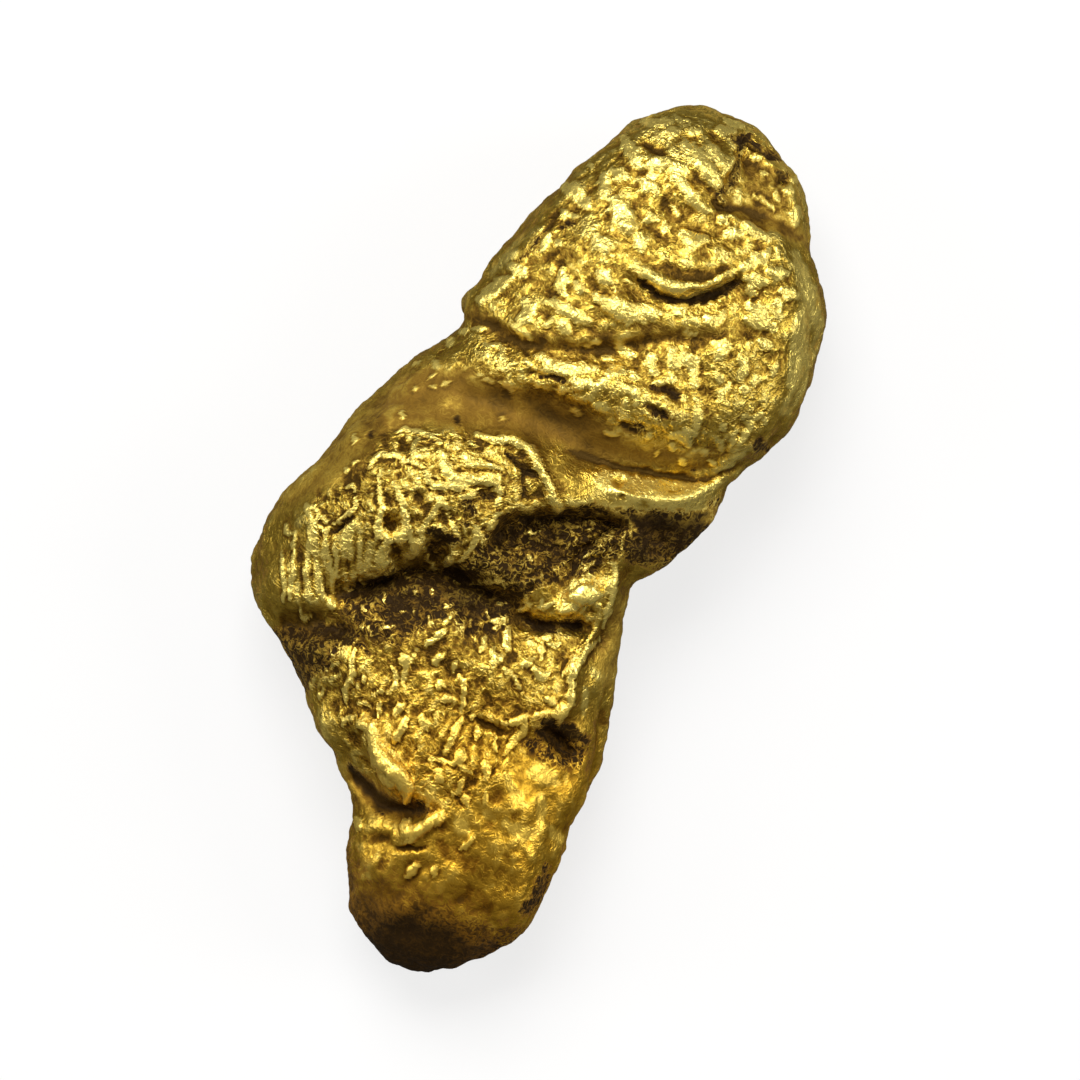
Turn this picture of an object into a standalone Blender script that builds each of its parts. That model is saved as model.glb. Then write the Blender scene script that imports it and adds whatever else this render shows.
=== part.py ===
"""A placer gold nugget: one solid lump, long and bent, worn smooth on its flanks and crumpled on top.

The lump lies along Y with its crumpled face up. Its surface is one function of two parameters:
    t, from 0 at the +Y end to 1 at the -Y end, with y = half the length times cos(pi t)
    a, the angle round the section, from 0 at the right rim, over the crown at 90 degrees
Four outlines give the left and right rims, the crown and the keel along the length. Ridges, ledges,
mounds and pits raise or lower the upper face, and seams and dents run round the flanks. The keel dips
below the ground and is cut off there, so that the lump rests on a few broad patches, worn flat.

Lengths are millimetres until the mesh is made. X is across, +Y along the lump, +Z up.
"""
import math

import bmesh
import bpy
import numpy as np

NAME = "gold_nugget"
MM = 0.001

# Driving dimensions
HALF_LENGTH = 9.1
FULLNESS_OVER = 0.86        # below 1 the section is fuller than an ellipse
FULLNESS_UNDER = 0.84
TRIANGLES = 9600            # the solid's budget
RINGS = 250                 # of the fine mesh that the solid is thinned from
SEGMENTS = 200

# Outlines along the length: (y, value), from the +Y end to the -Y end
LEFT_EDGE = [(9.1, 0.70), (8.95, -0.05), (8.6, -0.62), (8.05, -1.10), (7.4, -1.45), (6.6, -1.84),
             (5.6, -2.15), (4.6, -2.42), (3.9, -2.53), (3.45, -2.70), (3.0, -2.60), (2.5, -2.80),
             (2.0, -3.13), (1.2, -3.42), (0.2, -3.80), (-0.8, -4.10), (-1.7, -4.36), (-2.4, -4.39),
             (-3.0, -4.25), (-3.6, -3.90), (-4.2, -3.08), (-4.8, -2.32), (-5.3, -1.95), (-5.9, -1.13),
             (-6.5, -0.52), (-7.2, -0.23), (-8.0, 0.13), (-8.6, 0.52), (-8.95, 0.98), (-9.1, 1.72)]
RIGHT_EDGE = [(9.1, 0.70), (8.98, 1.50), (8.6, 2.32), (8.05, 2.77), (7.4, 3.13), (6.8, 3.69),
              (6.2, 4.10), (5.4, 4.26), (4.6, 4.40), (3.9, 4.34), (3.2, 4.05), (2.5, 3.82), (1.6, 3.65),
              (0.8, 3.37), (0.2, 3.00), (-0.2, 2.79), (-0.8, 2.80), (-1.6, 3.07), (-2.6, 3.45),
              (-3.8, 3.72), (-5.2, 3.88), (-6.2, 3.88), (-7.2, 3.74), (-8.0, 3.39), (-8.6, 2.92),
              (-8.95, 2.42), (-9.1, 1.72)]
LEFT_RIM = [(9.1, 1.9), (7.0, 2.2), (4.5, 2.0), (2.5, 1.7), (0.5, 1.6), (-1.5, 1.5), (-3.5, 1.8),
            (-5.5, 1.9), (-7.5, 1.6), (-9.1, 1.5)]
RIGHT_RIM = [(9.1, 1.9), (7.0, 1.6), (4.5, 1.8), (2.5, 2.2), (0.5, 2.5), (-1.5, 2.0), (-3.5, 1.6),
             (-5.5, 1.5), (-7.5, 1.7), (-9.1, 1.5)]
CROWN = [(9.1, 1.9), (8.8, 2.75), (8.0, 3.5), (6.5, 4.1), (4.5, 4.45), (2.5, 4.35), (0.5, 4.3),
         (-1.5, 4.1), (-3.5, 3.85), (-5.5, 3.65), (-7.0, 3.35), (-8.3, 2.65), (-8.9, 2.1), (-9.1, 1.5)]
KEEL = [(9.1, 1.9), (8.7, 1.1), (7.8, 0.45), (6.5, 0.0), (4.5, -0.14), (2.5, 0.0), (0.5, 0.3),
        (-1.5, 0.35), (-3.5, 0.12), (-5.5, -0.12), (-7.0, -0.05), (-8.2, 0.5), (-8.85, 1.0), (-9.1, 1.5)]
CREST_SHIFT = [(9.1, 0.0), (7.0, -0.15), (4.5, -0.3), (1.5, -0.4), (-0.5, -0.8), (-2.5, -0.6),
               (-4.5, -0.2), (-7.0, 0.1), (-9.1, 0.0)]

# Ridges of the upper face and, with a height below 0, its troughs: height, half width, points (x, y)
RIDGES = [
    (-0.50, 0.55, [(-3.4, 1.2), (-1.8, 1.7), (0.0, 1.95), (1.5, 1.85), (3.0, 2.3), (3.9, 3.0)]),
    (0.22, 0.45, [(-2.5, 2.7), (-0.6, 2.9), (1.0, 3.15), (2.6, 3.3), (3.7, 3.9)]),
    (0.32, 0.30, [(1.35, 1.4), (2.2, 1.45), (3.1, 1.9), (3.6, 2.8), (3.95, 4.0)]),
    (0.14, 0.12, [(-1.25, 1.15), (-0.5, 1.38), (0.0, 1.2), (0.45, 0.85), (0.75, 0.5)]),
    (-0.40, 0.70, [(-2.9, -3.4), (-1.8, -2.4), (-0.6, -1.7), (0.6, -1.9), (2.0, -1.6)]),
    (-0.55, 0.19, [(-2.5, -2.95), (-1.8, -2.35), (-1.3, -1.8), (-0.6, -1.6), (0.0, -1.6), (1.0, -1.55)]),
    (-0.30, 0.14, [(0.9, -1.8), (1.5, -1.75), (2.0, -1.5), (2.35, -1.4)]),
    (-0.42, 0.28, [(-3.4, -3.95), (-2.9, -3.8), (-2.2, -3.5), (-1.8, -3.6)]),
    (0.16, 0.14, [(0.95, 8.72), (1.6, 8.68), (2.25, 8.3), (2.55, 7.9)]),
    (0.14, 0.11, [(0.15, 5.55), (0.5, 5.43), (0.9, 5.4), (1.35, 5.6), (1.8, 6.0), (2.1, 6.3)]),
    (0.14, 0.30, [(2.5, 7.3), (3.3, 6.3), (3.7, 5.3), (3.85, 4.4)]),
    (0.12, 0.16, [(-1.5, 6.4), (-1.75, 5.6), (-1.95, 4.8), (-2.3, 4.1)]),
    (0.22, 0.14, [(2.3, 0.1), (2.5, -0.6), (2.55, -1.3), (2.4, -2.1), (2.65, -3.05), (1.9, -3.7)]),
    (0.32, 0.18, [(-1.25, -5.1), (-0.75, -5.0), (-0.45, -5.35), (0.0, -5.58), (0.5, -5.9)]),
    (-0.42, 0.22, [(-0.9, -5.85), (-0.4, -6.1), (0.1, -6.3), (0.5, -6.25), (1.0, -6.0)]),
    (0.16, 0.15, [(0.7, -6.75), (1.0, -6.35), (1.35, -6.0)]),
]
# Ledges, which drop on the right of their line and climb back: drop, reach, points (x, y)
LEDGES = [
    (0.30, 0.45, [(-2.85, 3.25), (-1.2, 3.25), (-0.3, 3.55), (0.6, 4.0), (1.4, 4.6), (2.7, 5.1)]),
    (0.34, 0.40, [(-0.1, 5.05), (0.3, 5.3), (0.9, 5.32), (1.4, 5.5), (1.9, 5.95), (2.2, 6.3)]),
    (0.45, 0.80, [(2.9, 7.5), (2.0, 7.35), (1.45, 7.45), (1.12, 7.8), (1.15, 8.3), (1.0, 8.8)]),
    (0.85, 0.80, [(-0.25, -1.1), (-0.1, -0.4), (0.1, 0.0), (0.7, 0.4), (1.4, 0.72), (2.0, 0.8), (2.3, 0.55)]),
]
LEDGE_EDGE = 0.17           # half the width of the sharp drop
# Mounds and hollows: height, x, y, radius along and across their own axis, that axis's angle from X
MOUNDS = [
    (0.50, -2.0, -0.5, 1.9, 1.4, 20.0),
    (0.35, 2.0, -0.9, 0.55, 0.45, 30.0),
    (-0.40, 2.85, 0.85, 0.45, 0.38, 30.0),
    (-0.22, 0.9, 6.75, 0.95, 0.45, 10.0),
    (-0.35, 2.7, -3.75, 0.42, 0.30, 0.0),
]
# Round pits with a raised lip: depth, x, y, radius
PITS = [(0.28, -1.05, -1.22, 0.30), (0.20, -2.05, -1.15, 0.22), (0.20, -1.72, -1.72, 0.20)]
LIP_HEIGHT, LIP_PLACE, LIP_WIDTH = 0.35, 1.25, 0.30      # shares of a pit's depth and radius

# Seams that run round the flanks: depth, half width, points (x, y, z)
SEAMS = [
    (0.28, 0.28, [(-2.75, 3.2, 3.2), (-2.65, 3.1, 2.0), (-2.2, 2.9, 0.9), (-1.0, 2.5, 0.1)]),
    (0.30, 0.45, [(3.0, 0.4, 2.4), (2.8, 0.0, 1.8), (2.4, -0.3, 1.0), (1.0, -0.5, 0.3)]),
    (0.26, 0.35, [(-3.5, -4.0, 2.2), (-3.2, -4.1, 1.4), (-2.3, -3.9, 0.6), (-1.0, -3.4, 0.1)]),
    (0.14, 0.25, [(3.0, -2.0, 2.6), (3.5, -3.6, 2.1), (3.8, -5.2, 1.8), (3.6, -7.0, 1.7)]),
    (0.22, 0.35, [(-1.2, -1.4, 0.2), (0.4, 0.2, 0.3), (1.9, 1.6, 0.2), (2.6, 3.2, 0.3)]),
]
# Broad dents in the flanks and the underside and, with a depth below 0, a knuckle: depth, x, y, z, radius
DENTS = [
    (0.16, -4.0, -0.6, 1.4, 1.0), (0.22, 4.3, 5.0, 1.0, 1.1), (0.18, -1.7, 6.6, 1.2, 1.0),
    (0.22, 3.7, 2.4, 1.2, 1.0), (0.14, 3.8, -5.0, 1.1, 0.9), (0.12, -0.5, -6.4, 1.1, 0.8),
    (0.20, -3.0, 1.2, 0.8, 0.9), (0.14, 2.0, 8.2, 1.2, 0.8), (0.18, 0.2, 5.6, 0.0, 0.7),
    (0.16, 2.4, 3.9, 0.0, 0.8), (0.16, 1.6, -6.2, 0.0, 0.7), (-0.62, -2.3, -1.8, 0.4, 1.1),
]

# Slow swelling over the whole surface: height, size of a swelling, seed
SWELLINGS = [(0.10, 1.15, 3), (0.055, 0.55, 8)]

COLOUR = (0.60, 0.38, 0.08, 1.0)
ROUGHNESS = 0.36
METALLIC = 1.0


def curve_through(places, values, at):
    """Cubic Hermite curve through (place, value), with slopes from the neighbouring points."""
    places, values = np.asarray(places, float), np.asarray(values, float)
    slopes = np.gradient(values, places)
    i = np.clip(np.searchsorted(places, at, side="right") - 1, 0, len(places) - 2)
    step = places[i + 1] - places[i]
    s = (at - places[i]) / step
    start = (2 * s**3 - 3 * s**2 + 1) * values[i] + (s**3 - 2 * s**2 + s) * step * slopes[i]
    end = (3 * s**2 - 2 * s**3) * values[i + 1] + (s**3 - s**2) * step * slopes[i + 1]
    return start + end


def along(outline, t):
    """An outline's value at t, where its knots are given by y."""
    y, value = np.array(outline, float).T
    return curve_through(np.arccos(np.clip(y / HALF_LENGTH, -1, 1)) / math.pi, value, t)


def signed_power(value, exponent):
    return np.sign(value) * np.abs(value) ** exponent


def smooth_step(low, high, value):
    s = np.clip((value - low) / (high - low), 0, 1)
    return s * s * (3 - 2 * s)


def bell(value):
    return np.exp(-value * value)


def even_rows(count):
    """Values of t whose rows lie evenly along the surface."""
    t = np.linspace(0, 1, 4001)
    y = HALF_LENGTH * np.cos(math.pi * t)
    run = sum(np.hypot(np.diff(y), np.diff(along(line, t))) for line in (LEFT_EDGE, RIGHT_EDGE, CROWN, KEEL))
    length = np.concatenate([[0], np.cumsum(run)])
    return np.interp(np.linspace(0, length[-1], count), length, t)


def lump(t, a):
    """The plain lump: a superellipse from rim to rim over the crown, and another under the keel."""
    left, right = along(LEFT_EDGE, t), along(RIGHT_EDGE, t)
    c, s = np.cos(a), np.sin(a)
    over = s >= 0
    fullness = np.where(over, FULLNESS_OVER, FULLNESS_UNDER)
    x = (left + right) / 2 + (right - left) / 2 * signed_power(c, fullness)
    x = x + np.where(over, along(CREST_SHIFT, t) * s**2, 0)
    rim = along(LEFT_RIM, t) * (1 - c) / 2 + along(RIGHT_RIM, t) * (1 + c) / 2
    far = np.where(over, along(CROWN, t), along(KEEL, t))
    z = rim + (far - rim) * np.abs(s) ** fullness
    y = HALF_LENGTH * np.cos(math.pi * t) + 0 * a
    return np.stack([x, y, z], -1)


def grid_normals(p):
    """Outward unit normals of a grid of points that closes on itself along its second axis."""
    n = np.cross(np.roll(p, -1, 1) - np.roll(p, 1, 1), np.gradient(p, axis=0))
    n[0], n[-1] = (0, 1, 0), (0, -1, 0)
    return n / np.maximum(np.linalg.norm(n, axis=-1, keepdims=True), 1e-12)


def to_line(p, knots):
    """Distance of each point from a smooth line, its side (+1 on the right), and its share along it."""
    knots = np.asarray(knots, float)
    places = np.arange(len(knots))
    steps = np.linspace(0, len(knots) - 1, (len(knots) - 1) * 5 + 1)
    line = np.stack([curve_through(places, column, steps) for column in knots.T], -1)
    share = np.linspace(0, 1, len(line))
    best = np.full(p.shape[:-1], np.inf)
    side, run = np.zeros_like(best), np.zeros_like(best)
    for i, (start, way) in enumerate(zip(line[:-1], np.diff(line, axis=0))):
        off = p - start
        s = np.clip(off @ way / (way @ way), 0, 1)
        distance = np.linalg.norm(off - s[..., None] * way, axis=-1)
        near = distance < best
        best = np.where(near, distance, best)
        side = np.where(near, -np.sign(way[0] * off[..., 1] - way[1] * off[..., 0]), side)
        run = np.where(near, share[i] + s * (share[i + 1] - share[i]), run)
    return best, side, run


def fade_ends(run, share=0.18):
    return smooth_step(0, share, run) * smooth_step(0, share, 1 - run)


def relief(xy):
    """Height that the ridges, ledges, mounds and pits add to the upper face."""
    height = np.zeros(xy.shape[:-1])
    for rise, width, knots in RIDGES:
        distance, _, run = to_line(xy, knots)
        height += rise * bell(distance / width) * (0.25 + 0.75 * fade_ends(run))
    for drop, reach, knots in LEDGES:
        distance, side, run = to_line(xy, knots)
        past = distance * side
        fall = smooth_step(-LEDGE_EDGE, LEDGE_EDGE, past) * np.exp(-np.maximum(past, 0) / reach)
        height -= drop * fall * fade_ends(run)
    for rise, x, y, long_radius, short_radius, lean in MOUNDS:
        c, s = math.cos(math.radians(lean)), math.sin(math.radians(lean))
        dx, dy = xy[..., 0] - x, xy[..., 1] - y
        height += rise * np.exp(-((dx * c + dy * s) / long_radius)**2 - ((dy * c - dx * s) / short_radius)**2)
    for depth, x, y, radius in PITS:
        reach = np.hypot(xy[..., 0] - x, xy[..., 1] - y) / radius
        height += depth * (LIP_HEIGHT * bell((reach - LIP_PLACE) / LIP_WIDTH) - np.exp(-reach**4))
    return height


def swelling(p, size, seed):
    """Gradient noise of about -1 to 1 whose bumps are a size across, from hashed lattice gradients."""
    cell = np.floor(p / size).astype(np.int64)
    inside = p / size - cell
    ease = inside**3 * (inside * (inside * 6 - 15) + 10)
    total = np.zeros(p.shape[:-1])
    for corner in np.ndindex(2, 2, 2):
        key = (cell + corner) @ (374761393, 668265263, 2147483647) + seed * 144269 & 0xFFFFFFFF
        key = ((key ^ (key >> 13)) * 1274126177) & 0xFFFFFFFF
        key ^= key >> 16
        slope = np.stack([((key >> shift) & 1023) / 511.5 - 1 for shift in (0, 10, 20)], -1)
        weight = np.abs(1 - np.array(corner) - ease).prod(-1)
        total += weight * ((inside - corner) * slope).sum(-1)
    return 1.6 * total


def nugget_surface(t, a):
    """The lump with its relief, its seams and dents, and its swellings."""
    p = lump(t, a)
    facing_up = smooth_step(0.05, 0.5, grid_normals(p)[..., 2])
    p[..., 2] += relief(p[..., :2]) * facing_up
    out = np.zeros(p.shape[:-1])
    for depth, width, knots in SEAMS:
        distance, _, run = to_line(p, knots)
        out -= depth * bell(distance / width) * fade_ends(run)
    for depth, x, y, z, radius in DENTS:
        out -= depth * bell(np.linalg.norm(p - (x, y, z), axis=-1) / radius)
    for height, size, seed in SWELLINGS:
        out += height * swelling(p, size, seed)
    p = p + grid_normals(p) * out[..., None]
    p[0], p[-1] = p[0].mean(0), p[-1].mean(0)
    return p


def make_material():
    material = bpy.data.materials.new("native_gold")
    material.use_nodes = True
    shader = material.node_tree.nodes["Principled BSDF"]
    shader.inputs["Base Color"].default_value = COLOUR
    shader.inputs["Roughness"].default_value = ROUGHNESS
    shader.inputs["Metallic"].default_value = METALLIC
    return material


def make_ground(collection):
    """The block below z = 0 that cuts the keel off flat."""
    block = bmesh.new()
    bmesh.ops.create_cube(block, size=3 * HALF_LENGTH * MM)
    bmesh.ops.translate(block, verts=block.verts, vec=(0, 0, -1.5 * HALF_LENGTH * MM))
    mesh = bpy.data.meshes.new("ground")
    block.to_mesh(mesh)
    block.free()
    ground = bpy.data.objects.new("ground", mesh)
    ground.hide_render = True
    ground.display_type = "WIRE"
    collection.objects.link(ground)
    return ground


def make_nugget(collection, ground):
    """A sphere with its poles along Y, each vertex moved to its place on the nugget's surface."""
    shape = bmesh.new()
    bmesh.ops.create_uvsphere(shape, u_segments=SEGMENTS, v_segments=RINGS, radius=1)
    shape.verts.ensure_lookup_table()
    at = np.array([v.co for v in shape.verts])
    row = np.rint(np.arccos(np.clip(at[:, 2], -1, 1)) / math.pi * RINGS).astype(int)
    turn = np.arctan2(-at[:, 1], at[:, 0])      # against the sphere's own sense, so that faces stay outward
    column = np.rint(turn / (2 * math.pi) * SEGMENTS).astype(int) % SEGMENTS
    angles = np.arange(SEGMENTS) * 2 * math.pi / SEGMENTS
    grid = nugget_surface(even_rows(RINGS + 1)[:, None], angles[None, :])
    low, high = grid.min((0, 1)), grid.max((0, 1))
    middle = np.array([(low[0] + high[0]) / 2, (low[1] + high[1]) / 2, 0])
    for vertex, place in zip(shape.verts, (grid[row, column] - middle) * MM):
        vertex.co = place
    bmesh.ops.triangulate(shape, faces=shape.faces)
    count = len(shape.faces)
    mesh = bpy.data.meshes.new(NAME)
    shape.to_mesh(mesh)
    shape.free()
    mesh.shade_smooth()
    mesh.materials.append(make_material())
    nugget = bpy.data.objects.new(NAME, mesh)
    collection.objects.link(nugget)
    thin = nugget.modifiers.new("thin", "DECIMATE")
    thin.ratio = TRIANGLES / count
    wear = nugget.modifiers.new("wear", "BOOLEAN")
    wear.operation = "DIFFERENCE"
    wear.object = ground
    return nugget


def main():
    for thing in list(bpy.data.objects):
        bpy.data.objects.remove(thing)
    nugget_collection = bpy.data.collections.new("gold nugget")
    cutters = bpy.data.collections.new("cutters")
    for collection in (nugget_collection, cutters):
        bpy.context.scene.collection.children.link(collection)
    make_nugget(nugget_collection, make_ground(cutters))


main()
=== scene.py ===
"""The looks of a placer gold nugget: its crumpled skin, the patina and painted shade in its hollows, and a
plain studio.

The skin is one surface, a function of two parameters on a grid:
    t, from 0 at the +Y end to 1 at the -Y end, with y = half the length times cos(pi t)
    a, the angle round the section, from 0 at the right rim, over the crown at 90 degrees
Lengths are millimetres until a mesh is made. X is across, +Y along the lump, +Z up.
"""
import math

import bpy
import numpy as np
from mathutils import Matrix, Vector


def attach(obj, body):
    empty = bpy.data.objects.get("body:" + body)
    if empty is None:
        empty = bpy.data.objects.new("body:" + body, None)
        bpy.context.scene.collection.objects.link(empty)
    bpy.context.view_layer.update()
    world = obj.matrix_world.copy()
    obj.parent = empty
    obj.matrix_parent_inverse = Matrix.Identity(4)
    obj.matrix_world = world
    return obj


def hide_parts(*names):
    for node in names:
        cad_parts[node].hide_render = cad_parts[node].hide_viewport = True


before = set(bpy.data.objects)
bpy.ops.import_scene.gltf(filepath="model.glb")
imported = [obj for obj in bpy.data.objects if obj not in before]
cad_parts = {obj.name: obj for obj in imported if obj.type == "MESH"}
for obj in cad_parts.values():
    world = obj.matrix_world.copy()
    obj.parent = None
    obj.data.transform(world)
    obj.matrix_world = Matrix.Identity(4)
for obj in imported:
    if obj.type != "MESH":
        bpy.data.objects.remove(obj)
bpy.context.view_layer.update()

MM = 0.001
NODE = "gold_nugget"

# ---------------------------------------------------------------- the lump's driving dimensions

HALF_LENGTH = 9.1
FULLNESS_OVER = 0.86        # below 1 the section is fuller than an ellipse
FULLNESS_UNDER = 0.84
ROWS, COLUMNS = 380, 258    # of the skin's grid
CROWN_SHARE = 0.75          # how much denser than the mean the columns lie over the crown

# Outlines along the length: (y, value), from the +Y end to the -Y end
LEFT_EDGE = [(9.1, 0.70), (8.95, -0.05), (8.6, -0.62), (8.05, -1.10), (7.4, -1.45), (6.6, -1.84),
             (5.6, -2.15), (4.6, -2.42), (3.9, -2.53), (3.45, -2.70), (3.0, -2.60), (2.5, -2.80),
             (2.0, -3.13), (1.2, -3.42), (0.2, -3.80), (-0.8, -4.10), (-1.7, -4.36), (-2.4, -4.39),
             (-3.0, -4.25), (-3.6, -3.90), (-4.2, -3.08), (-4.8, -2.32), (-5.3, -1.95), (-5.9, -1.13),
             (-6.5, -0.52), (-7.2, -0.23), (-8.0, 0.13), (-8.6, 0.52), (-8.95, 0.98), (-9.1, 1.72)]
RIGHT_EDGE = [(9.1, 0.70), (8.98, 1.50), (8.6, 2.32), (8.05, 2.77), (7.4, 3.13), (6.8, 3.69),
              (6.2, 4.10), (5.4, 4.26), (4.6, 4.40), (3.9, 4.34), (3.2, 4.05), (2.5, 3.82), (1.6, 3.65),
              (0.8, 3.37), (0.2, 3.00), (-0.2, 2.79), (-0.8, 2.80), (-1.6, 3.07), (-2.6, 3.45),
              (-3.8, 3.72), (-5.2, 3.88), (-6.2, 3.88), (-7.2, 3.74), (-8.0, 3.39), (-8.6, 2.92),
              (-8.95, 2.42), (-9.1, 1.72)]
LEFT_RIM = [(9.1, 1.9), (7.0, 2.2), (4.5, 2.0), (2.5, 1.7), (0.5, 1.6), (-1.5, 1.5), (-3.5, 1.8),
            (-5.5, 1.9), (-7.5, 1.6), (-9.1, 1.5)]
RIGHT_RIM = [(9.1, 1.9), (7.0, 1.6), (4.5, 1.8), (2.5, 2.2), (0.5, 2.5), (-1.5, 2.0), (-3.5, 1.6),
             (-5.5, 1.5), (-7.5, 1.7), (-9.1, 1.5)]
CROWN = [(9.1, 1.9), (8.8, 2.75), (8.0, 3.5), (6.5, 4.1), (4.5, 4.45), (2.5, 4.35), (0.5, 4.3),
         (-1.5, 4.1), (-3.5, 3.85), (-5.5, 3.65), (-7.0, 3.35), (-8.3, 2.65), (-8.9, 2.1), (-9.1, 1.5)]
KEEL = [(9.1, 1.9), (8.7, 1.1), (7.8, 0.45), (6.5, 0.0), (4.5, -0.14), (2.5, 0.0), (0.5, 0.3),
        (-1.5, 0.35), (-3.5, 0.12), (-5.5, -0.12), (-7.0, -0.05), (-8.2, 0.5), (-8.85, 1.0), (-9.1, 1.5)]
CREST_SHIFT = [(9.1, 0.0), (7.0, -0.15), (4.5, -0.3), (1.5, -0.4), (-0.5, -0.8), (-2.5, -0.6),
               (-4.5, -0.2), (-7.0, 0.1), (-9.1, 0.0)]

# Ridges of the upper face and, with a height below 0, its troughs: height, half width, points (x, y)
RIDGES = [
    (-0.50, 0.55, [(-3.4, 1.2), (-1.8, 1.7), (0.0, 1.95), (1.5, 1.85), (3.0, 2.3), (3.9, 3.0)]),
    (0.22, 0.45, [(-2.5, 2.7), (-0.6, 2.9), (1.0, 3.15), (2.6, 3.3), (3.7, 3.9)]),
    (0.32, 0.30, [(1.35, 1.4), (2.2, 1.45), (3.1, 1.9), (3.6, 2.8), (3.95, 4.0)]),
    (0.14, 0.12, [(-1.25, 1.15), (-0.5, 1.38), (0.0, 1.2), (0.45, 0.85), (0.75, 0.5)]),
    (-0.40, 0.70, [(-2.9, -3.4), (-1.8, -2.4), (-0.6, -1.7), (0.6, -1.9), (2.0, -1.6)]),
    (-0.55, 0.19, [(-2.5, -2.95), (-1.8, -2.35), (-1.3, -1.8), (-0.6, -1.6), (0.0, -1.6), (1.0, -1.55)]),
    (-0.30, 0.14, [(0.9, -1.8), (1.5, -1.75), (2.0, -1.5), (2.35, -1.4)]),
    (-0.42, 0.28, [(-3.4, -3.95), (-2.9, -3.8), (-2.2, -3.5), (-1.8, -3.6)]),
    (0.16, 0.14, [(0.95, 8.72), (1.6, 8.68), (2.25, 8.3), (2.55, 7.9)]),
    (0.14, 0.11, [(0.15, 5.55), (0.5, 5.43), (0.9, 5.4), (1.35, 5.6), (1.8, 6.0), (2.1, 6.3)]),
    (0.14, 0.30, [(2.5, 7.3), (3.3, 6.3), (3.7, 5.3), (3.85, 4.4)]),
    (0.12, 0.16, [(-1.5, 6.4), (-1.75, 5.6), (-1.95, 4.8), (-2.3, 4.1)]),
    (0.22, 0.14, [(2.3, 0.1), (2.5, -0.6), (2.55, -1.3), (2.4, -2.1), (2.65, -3.05), (1.9, -3.7)]),
    (0.32, 0.18, [(-1.25, -5.1), (-0.75, -5.0), (-0.45, -5.35), (0.0, -5.58), (0.5, -5.9)]),
    (-0.42, 0.22, [(-0.9, -5.85), (-0.4, -6.1), (0.1, -6.3), (0.5, -6.25), (1.0, -6.0)]),
    (0.16, 0.15, [(0.7, -6.75), (1.0, -6.35), (1.35, -6.0)]),
]
# Ledges, which drop on the right of their line and climb back: drop, reach, points (x, y)
LEDGES = [
    (0.30, 0.45, [(-2.85, 3.25), (-1.2, 3.25), (-0.3, 3.55), (0.6, 4.0), (1.4, 4.6), (2.7, 5.1)]),
    (0.34, 0.40, [(-0.1, 5.05), (0.3, 5.3), (0.9, 5.32), (1.4, 5.5), (1.9, 5.95), (2.2, 6.3)]),
    (0.45, 0.80, [(2.9, 7.5), (2.0, 7.35), (1.45, 7.45), (1.12, 7.8), (1.15, 8.3), (1.0, 8.8)]),
    (0.85, 0.80, [(-0.25, -1.1), (-0.1, -0.4), (0.1, 0.0), (0.7, 0.4), (1.4, 0.72), (2.0, 0.8),
                  (2.3, 0.55)]),
]
LEDGE_EDGE = 0.17           # half the width of the sharp drop
# Mounds and hollows: height, x, y, radius along and across their own axis, that axis's angle from X
MOUNDS = [
    (0.50, -2.0, -0.5, 1.9, 1.4, 20.0), (0.35, 2.0, -0.9, 0.55, 0.45, 30.0),
    (-0.40, 2.85, 0.85, 0.45, 0.38, 30.0), (-0.22, 0.9, 6.75, 0.95, 0.45, 10.0),
    (-0.35, 2.7, -3.75, 0.42, 0.30, 0.0),
]
# Round pits with a raised lip: depth, x, y, radius
PITS = [(0.28, -1.05, -1.22, 0.30), (0.20, -2.05, -1.15, 0.22), (0.20, -1.72, -1.72, 0.20)]
# Seams that run round the flanks: depth, half width, points (x, y, z)
SEAMS = [
    (0.28, 0.28, [(-2.75, 3.2, 3.2), (-2.65, 3.1, 2.0), (-2.2, 2.9, 0.9), (-1.0, 2.5, 0.1)]),
    (0.30, 0.45, [(3.0, 0.4, 2.4), (2.8, 0.0, 1.8), (2.4, -0.3, 1.0), (1.0, -0.5, 0.3)]),
    (0.26, 0.35, [(-3.5, -4.0, 2.2), (-3.2, -4.1, 1.4), (-2.3, -3.9, 0.6), (-1.0, -3.4, 0.1)]),
    (0.14, 0.25, [(3.0, -2.0, 2.6), (3.5, -3.6, 2.1), (3.8, -5.2, 1.8), (3.6, -7.0, 1.7)]),
    (0.22, 0.35, [(-1.2, -1.4, 0.2), (0.4, 0.2, 0.3), (1.9, 1.6, 0.2), (2.6, 3.2, 0.3)]),
]
# Broad dents in the flanks and the underside and, with a depth below 0, a knuckle: depth, x, y, z, radius
DENTS = [
    (0.16, -4.0, -0.6, 1.4, 1.0), (0.22, 4.3, 5.0, 1.0, 1.1), (0.18, -1.7, 6.6, 1.2, 1.0),
    (0.22, 3.7, 2.4, 1.2, 1.0), (0.14, 3.8, -5.0, 1.1, 0.9), (0.12, -0.5, -6.4, 1.1, 0.8),
    (0.20, -3.0, 1.2, 0.8, 0.9), (0.14, 2.0, 8.2, 1.2, 0.8), (0.18, 0.2, 5.6, 0.0, 0.7),
    (0.16, 2.4, 3.9, 0.0, 0.8), (0.16, 1.6, -6.2, 0.0, 0.7), (-0.62, -2.3, -1.8, 0.4, 1.1),
]
# Slow swelling over the whole surface: height, size of a swelling, seed
SWELLINGS = [(0.10, 1.15, 3), (0.055, 0.55, 8)]

# ---------------------------------------------------------------- the skin's fine forms

CAVITY_SIZES = [(4, 5.0), (16, 2.2), (60, 0.6)]      # rounds of smoothing, weight per mm
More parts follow.
